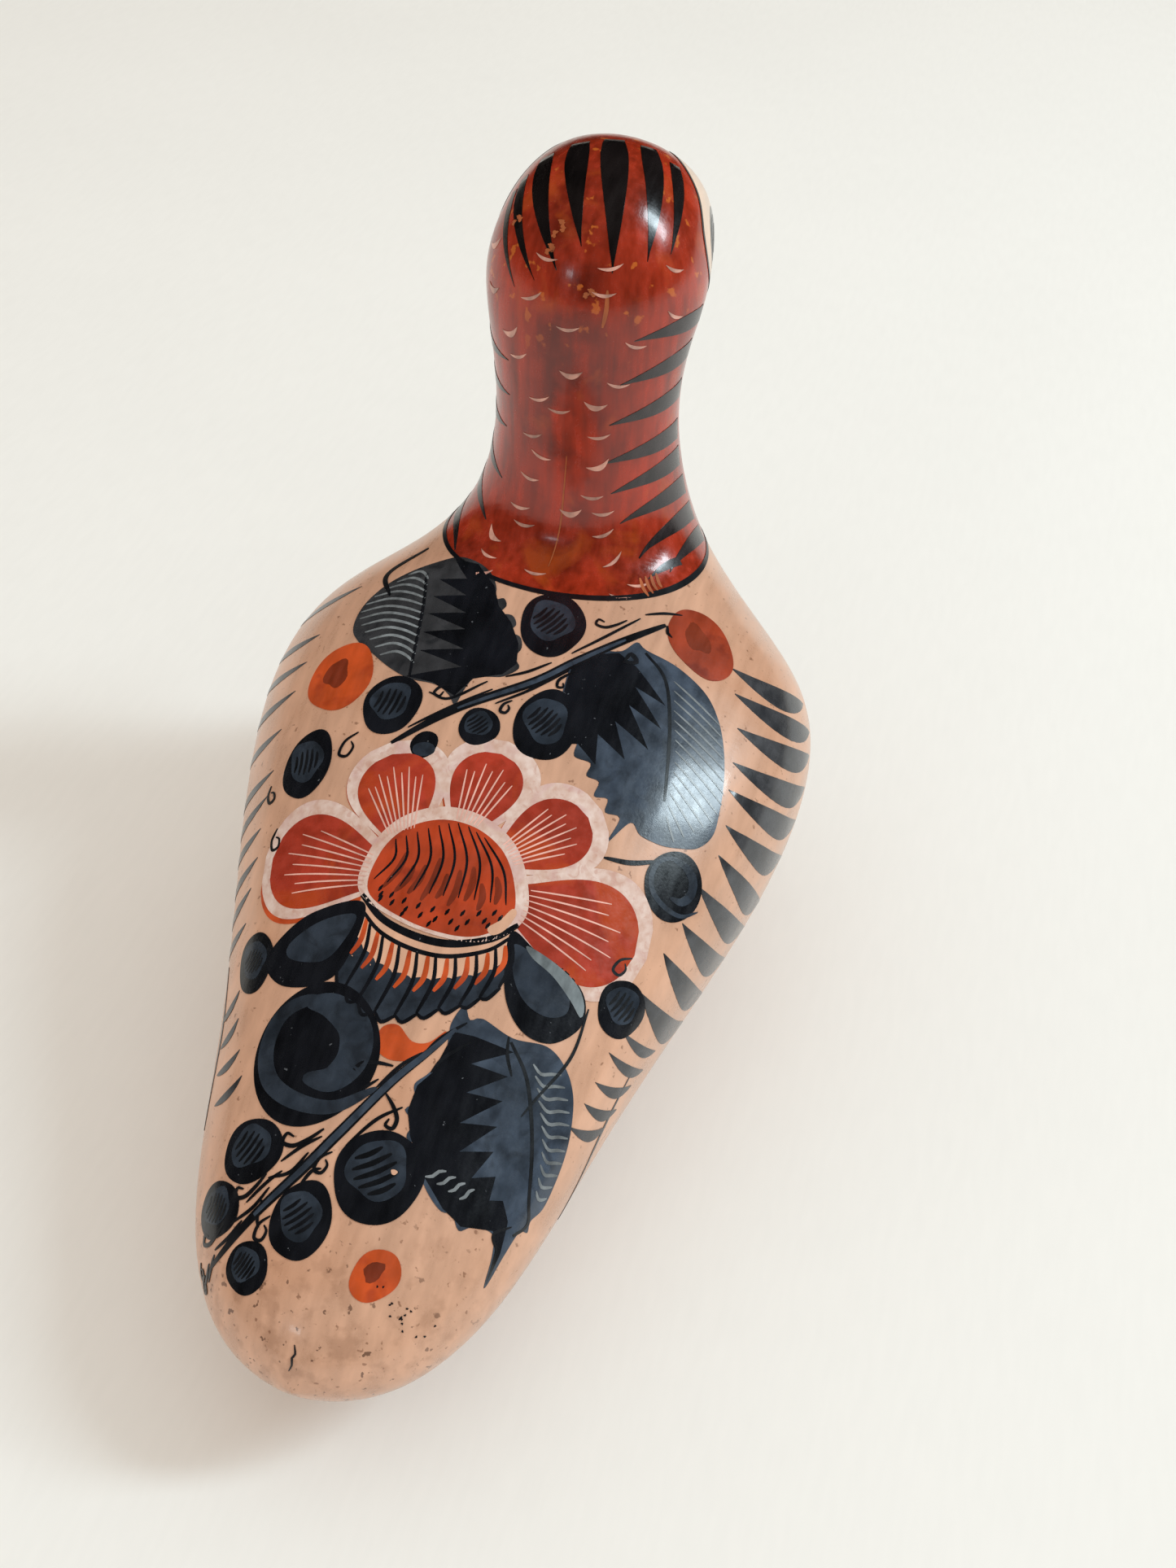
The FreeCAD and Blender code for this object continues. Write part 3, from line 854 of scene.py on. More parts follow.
def paint_leaves(slips):
    """Three broad leaves: a wash, a black toothed half, the rib and pale veins."""
    for name, place, edge, dark, rib, wash in (
            ("a", UPPER, LEAF_A_EDGE, DARK_A, RIB_A, "grey_wash"),
            ("b", UPPER, LEAF_B_EDGE, DARK_B, RIB_B, "blue_wash"),
            ("c", LEAF_C, LEAF_C_EDGE, DARK_C, RIB_C, "blue_wash")):
        sheet, teeth, line, pale = Coat(), Coat(), Coat(), Coat()
        sheet.patch(place, smooth_line(edge, 1.0, closed=True), SHEET + 0.02)
        teeth.patch(place, straight_line(toothed(*dark)), MIDDLE)
        line.line(place, rib, 0.9, OVER, taper=0.7)
        if name == "a":
            veins(pale, place, ((-41, 31), (-37, 17), (-33, -2)), ((-47, 33), (-57, 17), (-43, 0)), 12, 0.85,
                  OVER, bow=(0.5, 2.0))
            line.line(place, [(-50, 23), (-56, 33), (-49, 44)], 1.6, OVER + 0.01)
        elif name == "b":
            veins(pale, place, ((33, 15), (36, 4), (40, -8), (43, -25)),
                  ((48, 8.5), (54, -5), (56, -17), (46, -30)), 14, 0.6, OVER)
            line.line(place, [(19.5, 14), (20.5, 17), (22.5, 15), (19, 13.5)], 1.3, OVER + 0.01)
            teeth.line(place, [(31, -40), (38, -38.5), (45, -35)], 1.3, MIDDLE)
        else:
            veins(pale, place, ((0, 20), (5, 13), (11, 4), (15.5, -7)),
                  ((7, 21), (14.5, 13), (18.5, 3), (19, -7)), 11, 0.8, OVER, bow=(0.2, -1.2), wave=0.45)
            veins(pale, place, ((-8, -11.5), (2, -12.5)), ((-12, -14.5), (0, -16)), 4, 0.8, OVER, wave=0.4)
            line.line(place, [(-7, 22), (-5.5, 18), (-2.5, 14)], 0.8, OVER)
            line.line(place, [(13, -15.5), (9.5, -19), (12.5, -22)], 0.7, OVER)
        sheet.piece("leaf_" + name + "_wash", slips[wash])
        teeth.piece("leaf_" + name + "_black_teeth", slips["black"])
        line.piece("leaf_" + name + "_rib", slips["ink"])
        pale.piece("leaf_" + name + "_veins", slips["pale_line"])


BERRIES = ((300, -23.5, 16, 18, 75), (375, 4, 17, 21, 60), (293, -3, 10.5, 11, 50), (302, 10, 16, 21, 65),
           (272, -44, 15, 20, 90), (280, -13.5, 7, 8, 60), (209, 61, 13.5, 14, 80),
           (190, -54.5, 12, 16, 60), (111, -38, 16, 15, 55), (86, -53.5, 13, 13, 60),
           (83, -12, 14, 17.5, 42), (59, -34.5, 11, 11.5, 45), (109, 9.5, 20, 21, 40))


def paint_berries(slips):
    """Round berries with a blue-grey light on each, and slanting brush lines across it."""
    black, light, lines = Coat(), Coat(), Coat()
    for i, (s, a, width, height, slant) in enumerate(BERRIES):
        place = (s, a)
        black.patch(place, blob(0, 0, width, height, 12 * math.sin(i), 0.025, 3, i), MIDDLE + 0.01)
        small = min(width, height)
        if small < 8:
            light.patch(place, blob(0.3, -1.4, width * 0.88, height * 0.5, 0, 0.03, 2, i), OVER)
            continue
        middle = np.array([-0.03 * small, 0.07 * small])
        light.patch(place, blob(middle[0], middle[1], 0.68 * width, 0.64 * height, 20, 0.07, 3, 2 * i), OVER)
        count = 5 + i % 2
        way = np.array([math.cos(math.radians(slant)), math.sin(math.radians(slant))])
        across = np.array([way[1], -way[0]])
        for k in range(count):
            f = 2 * (k + 0.5) / count - 1
            spot = middle + across * f * 0.27 * small - way * 0.03 * small
            reach = way * 0.24 * small * math.sqrt(1.1 - f * f)
            lines.line(place, [spot - reach, spot + across * 0.02 * small, spot + reach], 0.062 * small, LINE)
    for place, size, turn in (((151, -22.5), 1.0, 0.0), ((260, 55), 0.52, 15.0)):
        black.patch(place, blob(0, 0, 31 * size, 35 * size, turn, 0.02, 2, 1), MIDDLE + 0.012)
        c, k = math.cos(math.radians(turn)), math.sin(math.radians(turn))
        moon = [(-1, -6), (6, -5.5), (9.8, 0), (8.5, 7), (2, 11.5), (-5, 12)]
        ring = [(4, 11.2), (-4, 12.6), (-11, 8.5), (-13, 0.5), (-9.8, -7), (-2, -11.3), (8, -11.8), (17, -6)]
        for points, width in ((moon, 8.0), (ring, 4.4)):
            light.line(place, [(size * (x * c - y * k), size * (x * k + y * c)) for x, y in points],
                       width * size ** 1.7, OVER + 0.002 * width, taper=0.15)
    black.piece("berries", slips["black"])
    light.piece("berry_lights", slips["berry_wash"])
    lines.piece("berry_brush_lines", slips["ink"])


def hook(x, y, size, turn, flip=1):
    """Points of a small curled hook: a long tail, then a tight turn back."""
    c, k = math.cos(math.radians(turn)), math.sin(math.radians(turn))
    shape = ((1.7, 0.25), (0.9, -0.12), (0.1, -0.3), (-0.45, 0.0), (-0.2, 0.4), (0.15, 0.15))
    return [(x + size * (u * c - flip * v * k), y + size * (u * k + flip * v * c)) for u, v in shape]


def drop(x, y, size, turn):
    """Points of an open drop: a small pointed loop."""
    c, k = math.cos(math.radians(turn)), math.sin(math.radians(turn))
    shape = ((0.0, 1.0), (-0.42, 0.2), (-0.25, -0.6), (0.3, -0.5), (0.32, 0.1), (-0.05, 0.35))
    return [(x + size * (u * c - v * k), y + size * (u * k + v * c)) for u, v in shape]


STEM_UP = ((-31, -25), (-17, -12.5), (-1, -0.5), (8, 9.5), (18, 21), (27, 31))
STEM_LOW = ((20, 34), (15, 27), (9, 19), (1, 6), (-6, -5), (-14, -15.5), (-20, -23), (-25, -28))
TWIGS_UP = (((-28, -20), (-19, -12.5), (-10, -5)), ((6, 11.5), (12, 19), (20, 30)), ((-8, -9), (-1, -3),
            (7, 6)), ((-8, -0.5), (-3, 2.5), (2, 7)), ((21, 32), (26, 35), (31, 37)), ((-26, -9),
            (-20, -10), (-12, -3)))
TWIGS_LOW = (((-1, 11), (2, 15), (6, 19)), ((-11, -3), (-7, 1), (-3, 4)), ((-13, -7), (-8, -5), (-5, 0)),
             ((-20, -18), (-15, -14), (-12, -9)), ((-17, -13), (-13, -8), (-10, -5)), ((13, 14), (8, 10),
             (3, 3)), ((-24, -24), (-20, -21), (-17, -17)), ((-1, -3), (-3, -4), (-5, -8)), ((-12, -18),
             (-13, -16), (-13, -12)), ((-26, -31), (-25, -28), (-24, -25)), ((-29, -33), (-27, -30),
             (-26, -27)), ((14, 27), (10, 23), (6, 17)), ((24, 32), (19, 27), (17, 23)), ((22, 36),
             (17, 31), (14, 26)))


DROPS = ((UPPER, -5, -9.5, 2.6, -20), (UPPER, -43, -27, 4.6, -20), (LOWER, -1, -2, 3.4, -25),
         (LOWER, -11, -18.5, 3.6, -20), (LOWER, -28.5, -32, 2.4, -10), (LOWER, -30, -29, 2.2, 20),
         ((213, 66), -9, 6, 3.6, -20), ((230, -52), 0, 6, 3.6, 0), ((262, -57), 0, 0, 3.2, 10))


def paint_stems(slips):
    """Two stems, their parallel twigs, hooks and small loops."""
    stem, wash, fine = Coat(), Coat(), Coat()
    stem.line(UPPER, STEM_UP, 2.7, MIDDLE + 0.02, taper=0.35)
    wash.line(UPPER, STEM_UP[1:-1], 1.3, OVER, taper=0.4)
    stem.line(LOWER, STEM_LOW, 2.6, MIDDLE + 0.02, taper=0.2)
    wash.line(LOWER, STEM_LOW[:-2], 1.6, OVER, taper=0.5)
    for twig in TWIGS_UP:
        fine.line(UPPER, twig, 0.8, MIDDLE + 0.03)
    for twig in TWIGS_LOW:
        fine.line(LOWER, twig, 0.85, MIDDLE + 0.03)
    for x, y, size, turn, flip in ((-23, -8, 4.0, 30, -1), (11, 24, 4.0, 25, 1), (6, 1.5, 3.0, 70, -1)):
        fine.line(UPPER, hook(x, y, size, turn, flip), 0.8, OVER, gap=0.5)
    for x, y, size, turn, flip in ((1.5, 20.5, 4.2, 25, -1), (-10, 2, 4.6, 20, 1), (-19, -11, 4.2, 35, 1),
                                   (-27.5, -22, 4.0, 30, 1), (11.5, 10.5, 3.8, 110, 1)):
        fine.line(LOWER, hook(x, y, size, turn, flip), 1.0, OVER, gap=0.5)
    for place, x, y, size, turn in DROPS:
        fine.line(place, drop(x, y, size, turn), 0.8, OVER, gap=0.5)
    fine.line(UPPER, [(27.5, 31), (28, 28.5), (29.5, 27.5)], 0.9, OVER)
    fine.line((188, 50), [(0, 8), (1.5, -4), (-1.5, -16), (-3, -22)], 0.8, OVER)
    stem.piece("stems", slips["ink"])
    wash.piece("stem_lights", slips["stem_wash"])
    fine.piece("twigs_and_hooks", slips["ink"])


def paint_spots(slips):
    """Rust and orange spots, each with a darker pool, and the comma."""
    rust, orange, pools = Coat(), Coat(), Coat()
    for coat, s, a, width, height, turn in ((orange, 319, -39, 20, 22, 10), (rust, 408, 35.5, 18, 23, 25),
                                            (orange, 69, 23, 9.8, 12.2, -20)):
        coat.patch((s, a), blob(0, 0, width, height, turn, 0.03, 3, s), SHEET + 0.03)
        pool = blob(-0.07 * width, 0.05 * height, 0.38 * width, 0.42 * height, turn, 0.12, 3, a)
        pools.patch((s, a), pool, MIDDLE)
    comma = smooth_line([(-7, -1.8), (-6.2, 1.2), (-3, 2.2), (1.2, -0.6), (5, 0.2), (8, 3.8), (7, -1.2),
                         (3, -4.6), (-2, -6), (-5.6, -4.8)], closed=True)
    orange.patch((163, 4), comma, SHEET + 0.03)
    rust.piece("rust_spot", slips["rust_spot"])
    orange.piece("orange_spots", slips["orange"])
    pools.piece("spot_pools", slips["pool"])


def sickle(t):
    """Width of a feather stroke: a hair at its start, full past the middle, blunt at its end."""
    return math.sin(math.pi * t ** 1.15) ** 0.7 if 0 < t < 1 else 0.04


def wedge(t):
    """Width of a wedge: full at its root, down to a hair at its tip."""
    return (1 - t) ** 0.8 * (0.9 + 0.35 * math.sin(math.pi * t) ** 1.5)


def spindle(t):
    """Width of a crown wedge: narrower at its root, full before the middle, down to a hair at its tip."""
    return (0.72 + 0.28 * math.sin(math.pi * min(1.0, 2.4 * t) / 2)) * (1 - t ** 1.7) ** 1.1


def crescent(t):
    """Width of a scale mark: thin at both ends."""
    return math.sin(math.pi * t) ** 0.8


def between(keys, count, wobble=0.8):
    """Rows for count strokes spread evenly between key strokes, with a little unsteadiness of the hand.

    A key stroke is (its number, s and a at its start, s and a at its end, width in mm)."""
    keys = np.array(keys, float)
    number = np.arange(count)
    rows = np.column_stack([np.interp(number, keys[:, 0], column) for column in keys[:, 1:].T])
    for column in range(4):
        rows[:, column] += wobble * np.sin(2.3 * number + 1.9 * column)
    return rows


WING_RIGHT = ((0, 398, 41, 420, 76, 7.0), (3, 326, 49, 366, 91, 7.0), (6, 280, 62, 311, 106, 7.0),
              (10, 216, 66, 247, 111, 7.0), (11, 202, 66, 218, 95, 2.8), (15, 161, 66, 178, 90, 2.8))
WING_LEFT = ((0, 408, -45, 388, -71, 2.8), (1, 357, -49, 359, -78, 2.8), (5, 274, -57, 273, -88, 2.8),
             (10, 209, -63, 208, -91, 2.8))
TAIL_DABS = ((0, 181, -62, 174, -76, 2.2), (3, 143, -50, 136, -67, 2.2))
NECK_RIGHT = ((0, 794, 98, 761, 32, 5.6), (3, 681, 98, 635, 12, 6.4), (6, 612, 92, 530, 20, 5.6),
              (7, 588, 90, 517, 33, 5.0))
NECK_RIGHT_STUB = (533, 46, 482, 24, 2.6)
NECK_LEFT = ((0, 758, -96, 725, -37, 4.4), (2, 690, -96, 657, -40, 4.4), (5, 602, -91, 486, -19, 4.4))
CROWN = ((890, -57, 790, -34, 3.0), (905, -53, 797, -20, 4.2), (931, -42, 808, -7, 6.6),
         (944, -20, 834, 4, 7.6), (962, 0, 814, 26, 9.0), (958, 24, 833, 43, 7.2), (944, 44, 846, 53, 5.0))


def scale_rows():
    """Places of the scale marks: wide rows over the nape, then two or three to a row down the neck."""
    places = []
    for k in range(13):
        half = 56 if k < 2 else 34 if k < 4 else 18
        count = 4 if k < 2 else 3 if k < 4 or k % 4 == 0 else 2
        for j in range(count):
            s = 828 - 32.5 * k + 7 * math.cos(1.9 * k + 2.1 * j)
            places.append((s, half * (2 * j / (count - 1) - 1) + 4 * math.sin(2.3 * k + 1.7 * j)))
    return places


BORDER_RIGHT = ((199, 84), (185, 86), (171, 90), (158, 97), (146, 104))
BORDER_LEFT = ((199, -79), (184, -76), (169, -74), (149, -76), (130, -80))


def paint_feathers(slips):
    """Sickle strokes of both wings, the small dabs towards the tail, and the border lines."""
    right = dab("sickle_right", sickle, 0.7)
    left = dab("sickle_left", sickle, -0.55)
    brush_marks("wing_strokes_right", between(WING_RIGHT, 16), right, SHEET + 0.02, slips["feather"])
    brush_marks("wing_strokes_left", between(WING_LEFT, 11), left, SHEET + 0.02, slips["feather"])
    brush_marks("tail_dabs_left", between(TAIL_DABS, 4), left, SHEET + 0.02, slips["feather"])
    border = Coat()
    for points in (BORDER_RIGHT, BORDER_LEFT):
        path = smooth_line([(s, a) for s, a in points], 1.5)
        t = np.linspace(0, 1, len(path))
        border.trail(path[:, 0], path[:, 1], 0.15 + 0.35 * np.sin(np.pi * t), SHEET + 0.03)
    border.piece("tail_border_lines", slips["feather"])
    put_away(right, left)


# Plane of the joint between body and neck, in metres, before the bird is centred in the frame
NECK_FOOT_Z, NECK_FOOT_Y, NECK_FOOT_SLOPE = 0.1174, -0.06, 0.128


def neck_root(a):
    """Surface places of the neck's foot: where the red slip meets the cream."""
    low, high = np.full(len(a), 390.0), np.full(len(a), 640.0)
    shift = NET_SHIFT * MM
    for _ in range(28):
        middle = (low + high) / 2
        p = clay_point(middle, a) * MM
        above = p[:, 2] - (NECK_FOOT_Z + NECK_FOOT_SLOPE * (p[:, 1] - shift - NECK_FOOT_Y)) > 0
        high, low = np.where(above, middle, high), np.where(above, low, middle)
    return (low + high) / 2


def paint_neck(slips):
    """The black line at the neck's foot, the wedges of neck and crown, and the white scale marks."""
    ring = Coat()
    a = np.linspace(-180, 180, 160, endpoint=False)
    ring.trail(neck_root(a), a, 0.75 + 0.15 * np.sin(np.radians(a) * 3), MIDDLE, closed=True)
    ring.piece("neck_foot_line", slips["ink"], RED)
    wedges, straight = dab("wedge", wedge, 0.22), dab("straight_wedge", spindle, 0.05)
    rows = np.vstack([between(NECK_RIGHT, 8), NECK_RIGHT_STUB])
    brush_marks("neck_wedges_right", rows, wedges, SHEET + 0.02, slips["wedge"])
    brush_marks("neck_wedges_left", between(NECK_LEFT, 6), wedges, SHEET + 0.02, slips["wedge"])
    brush_marks("crown_wedges", CROWN, straight, SHEET + 0.02, slips["black_red"])
    moon = dab("scale_moon", crescent, 1.0)
    rows = []
    for i, (s, a) in enumerate(scale_rows()):
        ends_s, ends_a = travel(s, a, [-3.1, 3.1], [0.9 * math.sin(2.1 * i), -0.9 * math.sin(2.1 * i) + 0.6])
        rows.append((ends_s[0], ends_a[0], ends_s[1], ends_a[1], 0.85 if i % 4 else 1.5))
    brush_marks("neck_scale_marks", rows, moon, MIDDLE, slips["scale_white"])
    put_away(wedges, straight, moon)


FACE_EDGE = ((-2.5, -15), (9, -12.5), (15.5, -4), (15, 7), (9, 14.5), (-1, 17), (-11, 18), (-19, 15),
             (-19.5, 7), (-15, -2), (-10.5, -11))


def paint_face(slips):
    """A cream patch on each side of the head with a dark line round it, and the eye."""
    patch, line, eye, light = Coat(), Coat(), Coat(), Coat()
    for side in (1, -1):
        place = (900, side * 98)
        outline = [(side * x, y) for x, y in FACE_EDGE]
        patch.patch(place, smooth_line(outline, closed=True), SHEET + 0.02, gap=1.6)
        ring = np.array(outline)
        line.line(place, np.vstack([ring, ring[:2]]), 1.0, MIDDLE, taper=0.8)
        eye.patch(place, blob(side * -1.5, -2.0, 13.0, 17.0, side * 12, 0.02, 2, 0), MIDDLE, gap=1.5)
        light.patch(place, blob(side * -1.5, -2.0, 9.0, 12.6, side * 12, 0.02, 2, 0), OVER, gap=1.5)
        eye.patch(place, blob(side * -1.5, -2.0, 5.4, 8.2, side * 12, 0.02, 2, 0), OVER + 0.05, gap=1.5)
    patch.piece("face_patches", slips["face"], RED)
    line.piece("face_lines", slips["ink"], RED)
    light.piece("eye_rings", slips["berry_wash"], RED)
    eye.piece("eyes", slips["black"], RED)


BARE_PATCHES = (((842, 8), -9, 2, 3.6, 5.2), ((842, 8), -10.5, -3, 2.2, 2.4), ((850, -40), 1, 1, 4.2, 2.2),
                ((808, 14), -2, -2, 3.4, 2.0))


def paint_wear(slips):
    """The crack and chips at the tail, the cream chip by the dome, and bare scratches on the nape."""
    crack, chips, scratches = Coat(), Coat(), Coat()
    crack.line((20, -1), [(-0.4, 3.2), (0.1, 1.2), (-0.5, 0.2), (-0.3, -1.4), (-0.9, -3.0)], 0.5, MIDDLE)
    for i in range(16):
        turn = 2.4 * i
        speck_place = (62 - 2.5 * (i % 4), 46 + 2.2 * math.sin(turn))
        speck = blob(4.5 * math.cos(turn) * (i % 5) / 2, 1.2 * math.sin(3 * turn), 0.55, 0.4, 30 * i, 0.2)
        crack.patch(speck_place, speck, MIDDLE, gap=0.6)
    chip = smooth_line([(13.2, -9.6), (15.5, -7), (17.5, -3.5), (18.8, -4.2), (18, -7.5), (16.6, -9.8),
                        (14.6, -11)], 0.7, closed=True)
    chips.patch(FLOWER, chip, LINE + 0.03, gap=1.4)
    chips.patch((109, 9.5), blob(3, 2, 1.5, 1.2, 0, 0.1), LINE + 0.04, gap=0.8)
    for place, x, y, width, height in BARE_PATCHES:
        for k in range(6):
            across, along = width * 0.32 * math.sin(2.3 * k), height * 0.34 * math.cos(1.7 * k)
            fleck = blob(x + across, y + along, 1.5, 1.0, 40 * k, 0.25, 3, k)
            scratches.patch(place, fleck, SHEET + 0.01, gap=0.9)
    scratches.line((790, 18), [(0, 4.5), (0.4, 0), (0.1, -4.5)], 1.1, SHEET + 0.02)
    scratches.line((560, 0), [(0.6, 17), (0.2, 6), (0, -3), (-0.9, -15)], 0.4, SHEET + 0.01)
    for k in range(4):
        x = 1.7 * k - 3
        scratches.line((474, 27), [(x, 3.2), (x - 0.6, 0), (x - 0.4, -2.8 + 0.5 * k)], 1.0, MIDDLE)
    crack.piece("tail_crack_and_specks", slips["ink"])
    chips.piece("bare_cream_chips", slips["cream_paint"])
    scratches.piece("nape_scratches", slips["scratch"], RED)


# ---------------------------------------------------------------- settings, operators, panel

def colour_setting(name, description, default):
    """A colour that a user can change."""
    return bpy.props.FloatVectorProperty(name=name, description=description, default=default, size=3,
                                         min=0, max=1, subtype="COLOR_GAMMA")


class BirdColours(bpy.types.PropertyGroup):
    """Colours of the slips."""
    cream: colour_setting("Cream", "Ground of the body", (0.81, 0.635, 0.53))
    red: colour_setting("Red", "Ground of the neck and head", (0.61, 0.178, 0.083))
    black: colour_setting("Black", "Black painting slip", (0.05, 0.055, 0.07))
    blue: colour_setting("Blue wash", "Wash of the leaves", (0.155, 0.185, 0.225))
    grey: colour_setting("Grey", "Feather strokes and thin leaves", (0.22, 0.225, 0.24))
    petal: colour_setting("Petal", "Rust pink of the petals", (0.66, 0.21, 0.13))
    orange: colour_setting("Orange", "Spots and small strokes", (0.75, 0.29, 0.07))
    white: colour_setting("White", "Thin white slip", (0.90, 0.82, 0.79))


class BirdStage(bpy.types.PropertyGroup):
    """Camera and light."""
    turn: bpy.props.FloatProperty(name="Camera turn", description="Where the camera stands round the bird",
                                  default=math.radians(193.07), subtype="ANGLE")
    rise: bpy.props.FloatProperty(name="Camera rise", description="How far the camera looks down",
                                  default=math.radians(42.49), subtype="ANGLE")
    roll: bpy.props.FloatProperty(name="Camera roll", description="Tilt of the camera",
                                  default=math.radians(3.11), subtype="ANGLE")
    distance: bpy.props.FloatProperty(name="Camera distance", description="From the camera to its target",
                                      default=0.4085, unit="LENGTH")
    aim: bpy.props.FloatVectorProperty(name="Camera target", description="What the camera looks at",
                                       default=(-0.02518, 0.00207, 0.09612), subtype="TRANSLATION",
                                       unit="LENGTH")
    lens: bpy.props.FloatProperty(name="Lens", description="Focal length in millimetres", default=37.4)
    window: bpy.props.FloatProperty(name="Window", description="Strength of the window light in watts",
                                    default=25.5)
    ceiling: bpy.props.FloatProperty(name="Ceiling", description="Strength of the light from above in watts",
                                     default=4.0)
    room: bpy.props.FloatProperty(name="Room", description="Strength of the light from all round",
                                  default=0.79)


SLIPS = {}


def slip_set(colours):
    """Every painting slip by name, made once."""
    if not SLIPS:
        SLIPS.update({
            "black": black_slip(colours),
            "ink": plain_slip("thin black slip", colours.black, (0.9, 1.8), 0.34),
            "black_red": plain_slip("black slip over red", (0.075, 0.06, 0.06), (0.7, 1.6), 0.21),
            "wedge": plain_slip("grey black slip over red", (0.13, 0.11, 0.115), (0.7, 1.6), 0.24,
                                streak_share=0.7),
            "feather": wash_slip("feather grey slip", colours.grey, (0.13, 0.14, 0.16)),
            "blue_wash": wash_slip("leaf blue wash", shade(colours.blue, 1.4), (0.12, 0.14, 0.17)),
            "leaf_wash": wash_slip("cup blue wash", shade(colours.blue, 1.1)),
            "grey_wash": wash_slip("leaf grey wash", shade(colours.grey, 0.92)),
            "berry_wash": wash_slip("berry blue wash", shade(colours.blue, 1.08)),
            "stem_wash": wash_slip("stem blue wash", shade(colours.blue, 1.35)),
            "pale_line": plain_slip("pale grey line slip", (0.47, 0.50, 0.52), (0.72, 1.18), 0.35),
            "pale_blue": plain_slip("pale blue veil slip", (0.44, 0.48, 0.50), (0.75, 1.2), 0.35,
                                    clouds=150.0),
            "white": plain_slip("white line slip", (0.88, 0.68, 0.63), (0.88, 1.1), 0.36),
            "scale_white": plain_slip("scale white slip", (0.80, 0.60, 0.54), (0.72, 1.15), 0.34,
                                      clouds=180.0),
            "veil": veil_slip(colours),
            "petal": petal_slip(colours),
            "dome": spot_slip("dome orange slip", (0.69, 0.23, 0.06), (0.50, 0.13, 0.035)),
            "rust": plain_slip("rust brown slip", (0.50, 0.17, 0.06), (0.85, 1.2), 0.32),
            "rust_spot": spot_slip("rust spot slip", (0.60, 0.22, 0.10), (0.42, 0.13, 0.07)),
            "pool": plain_slip("dark pool slip", (0.50, 0.18, 0.06), (0.85, 1.15), 0.33),
            "orange": spot_slip("orange slip", colours.orange, (0.62, 0.20, 0.05)),
            "cream_paint": plain_slip("cream paint slip", shade(colours.cream, 1.06), (0.94, 1.06), 0.36),
            "face": plain_slip("face cream slip", (0.90, 0.80, 0.72), (0.93, 1.04), 0.34),
            "scratch": plain_slip("bare orange clay", (0.68, 0.35, 0.16), (0.8, 1.15), 0.5, relief=0.4),
        })
    return SLIPS


class BIRD_OT_clay(bpy.types.Operator):
    """Gives the moulded clay shells, the beak and the pellets their slips"""
    bl_idname = "clay_bird.clay"
    bl_label = "Clay shells, beak and pellets"

    def execute(self, context):
        colours = context.scene.bird_colours
        cream, red = cream_ground(colours), red_ground(colours)
        beak = Slip("beak slip", (0.30, 0.20, 0.15), (0.42, 0.29, 0.21), 0.36, clouds=260.0,
                    streaks=(700.0, 120.0, 700.0), relief=0.2).done()
        bare = Slip("bare fired clay", (0.55, 0.33, 0.22), (0.68, 0.43, 0.29), 0.75, clouds=500.0, relief=0.5,
                    polish=0.0).done()
        for node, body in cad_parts.items():
            material = red if node.startswith("neck") else cream
            if node == "beak":
                material = beak
            if node.startswith("pellet"):
                material = bare
            body.data.materials.clear()
            body.data.materials.append(material)
        return {"FINISHED"}


class BIRD_OT_flower(bpy.types.Operator):
    """Paints the flower with its dome and cup"""
    bl_idname = "clay_bird.flower"
    bl_label = "Flower"

    def execute(self, context):
        paint_flower(slip_set(context.scene.bird_colours))
        return {"FINISHED"}


class BIRD_OT_leaves(bpy.types.Operator):
    """Paints the three broad leaves"""
    bl_idname = "clay_bird.leaves"
    bl_label = "Leaves"

    def execute(self, context):
        paint_leaves(slip_set(context.scene.bird_colours))
        return {"FINISHED"}


class BIRD_OT_berries(bpy.types.Operator):
    """Paints the berries and the two spirals"""
    bl_idname = "clay_bird.berries"
    bl_label = "Berries and spirals"

    def execute(self, context):
        paint_berries(slip_set(context.scene.bird_colours))
        return {"FINISHED"}


class BIRD_OT_stems(bpy.types.Operator):
    """Paints the stems, twigs and hooks"""
    bl_idname = "clay_bird.stems"
    bl_label = "Stems"

    def execute(self, context):
        paint_stems(slip_set(context.scene.bird_colours))
        return {"FINISHED"}


class BIRD_OT_spots(bpy.types.Operator):
    """Paints the rust and orange spots"""
    bl_idname = "clay_bird.spots"
    bl_label = "Spots"

    def execute(self, context):
        paint_spots(slip_set(context.scene.bird_colours))
        return {"FINISHED"}


class BIRD_OT_feathers(bpy.types.Operator):
    """Lays the sickle strokes of both wings"""
    bl_idname = "clay_bird.feathers"
    bl_label = "Wing feathers"

    def execute(self, context):
        paint_feathers(slip_set(context.scene.bird_colours))
        return {"FINISHED"}


class BIRD_OT_neck(bpy.types.Operator):
    """Paints the neck line, wedges and scale marks"""
    bl_idname = "clay_bird.neck"
    bl_label = "Neck and crown"

    def execute(self, context):
        paint_neck(slip_set(context.scene.bird_colours))
        return {"FINISHED"}


class BIRD_OT_face(bpy.types.Operator):
    """Paints the face patches and the eyes"""
    bl_idname = "clay_bird.face"
    bl_label = "Face"

    def execute(self, context):
        paint_face(slip_set(context.scene.bird_colours))
        return {"FINISHED"}


class BIRD_OT_wear(bpy.types.Operator):
    """Adds the crack, specks, chips and scratches"""
    bl_idname = "clay_bird.wear"
    bl_label = "Wear"

    def execute(self, context):
        paint_wear(slip_set(context.scene.bird_colours))
        return {"FINISHED"}


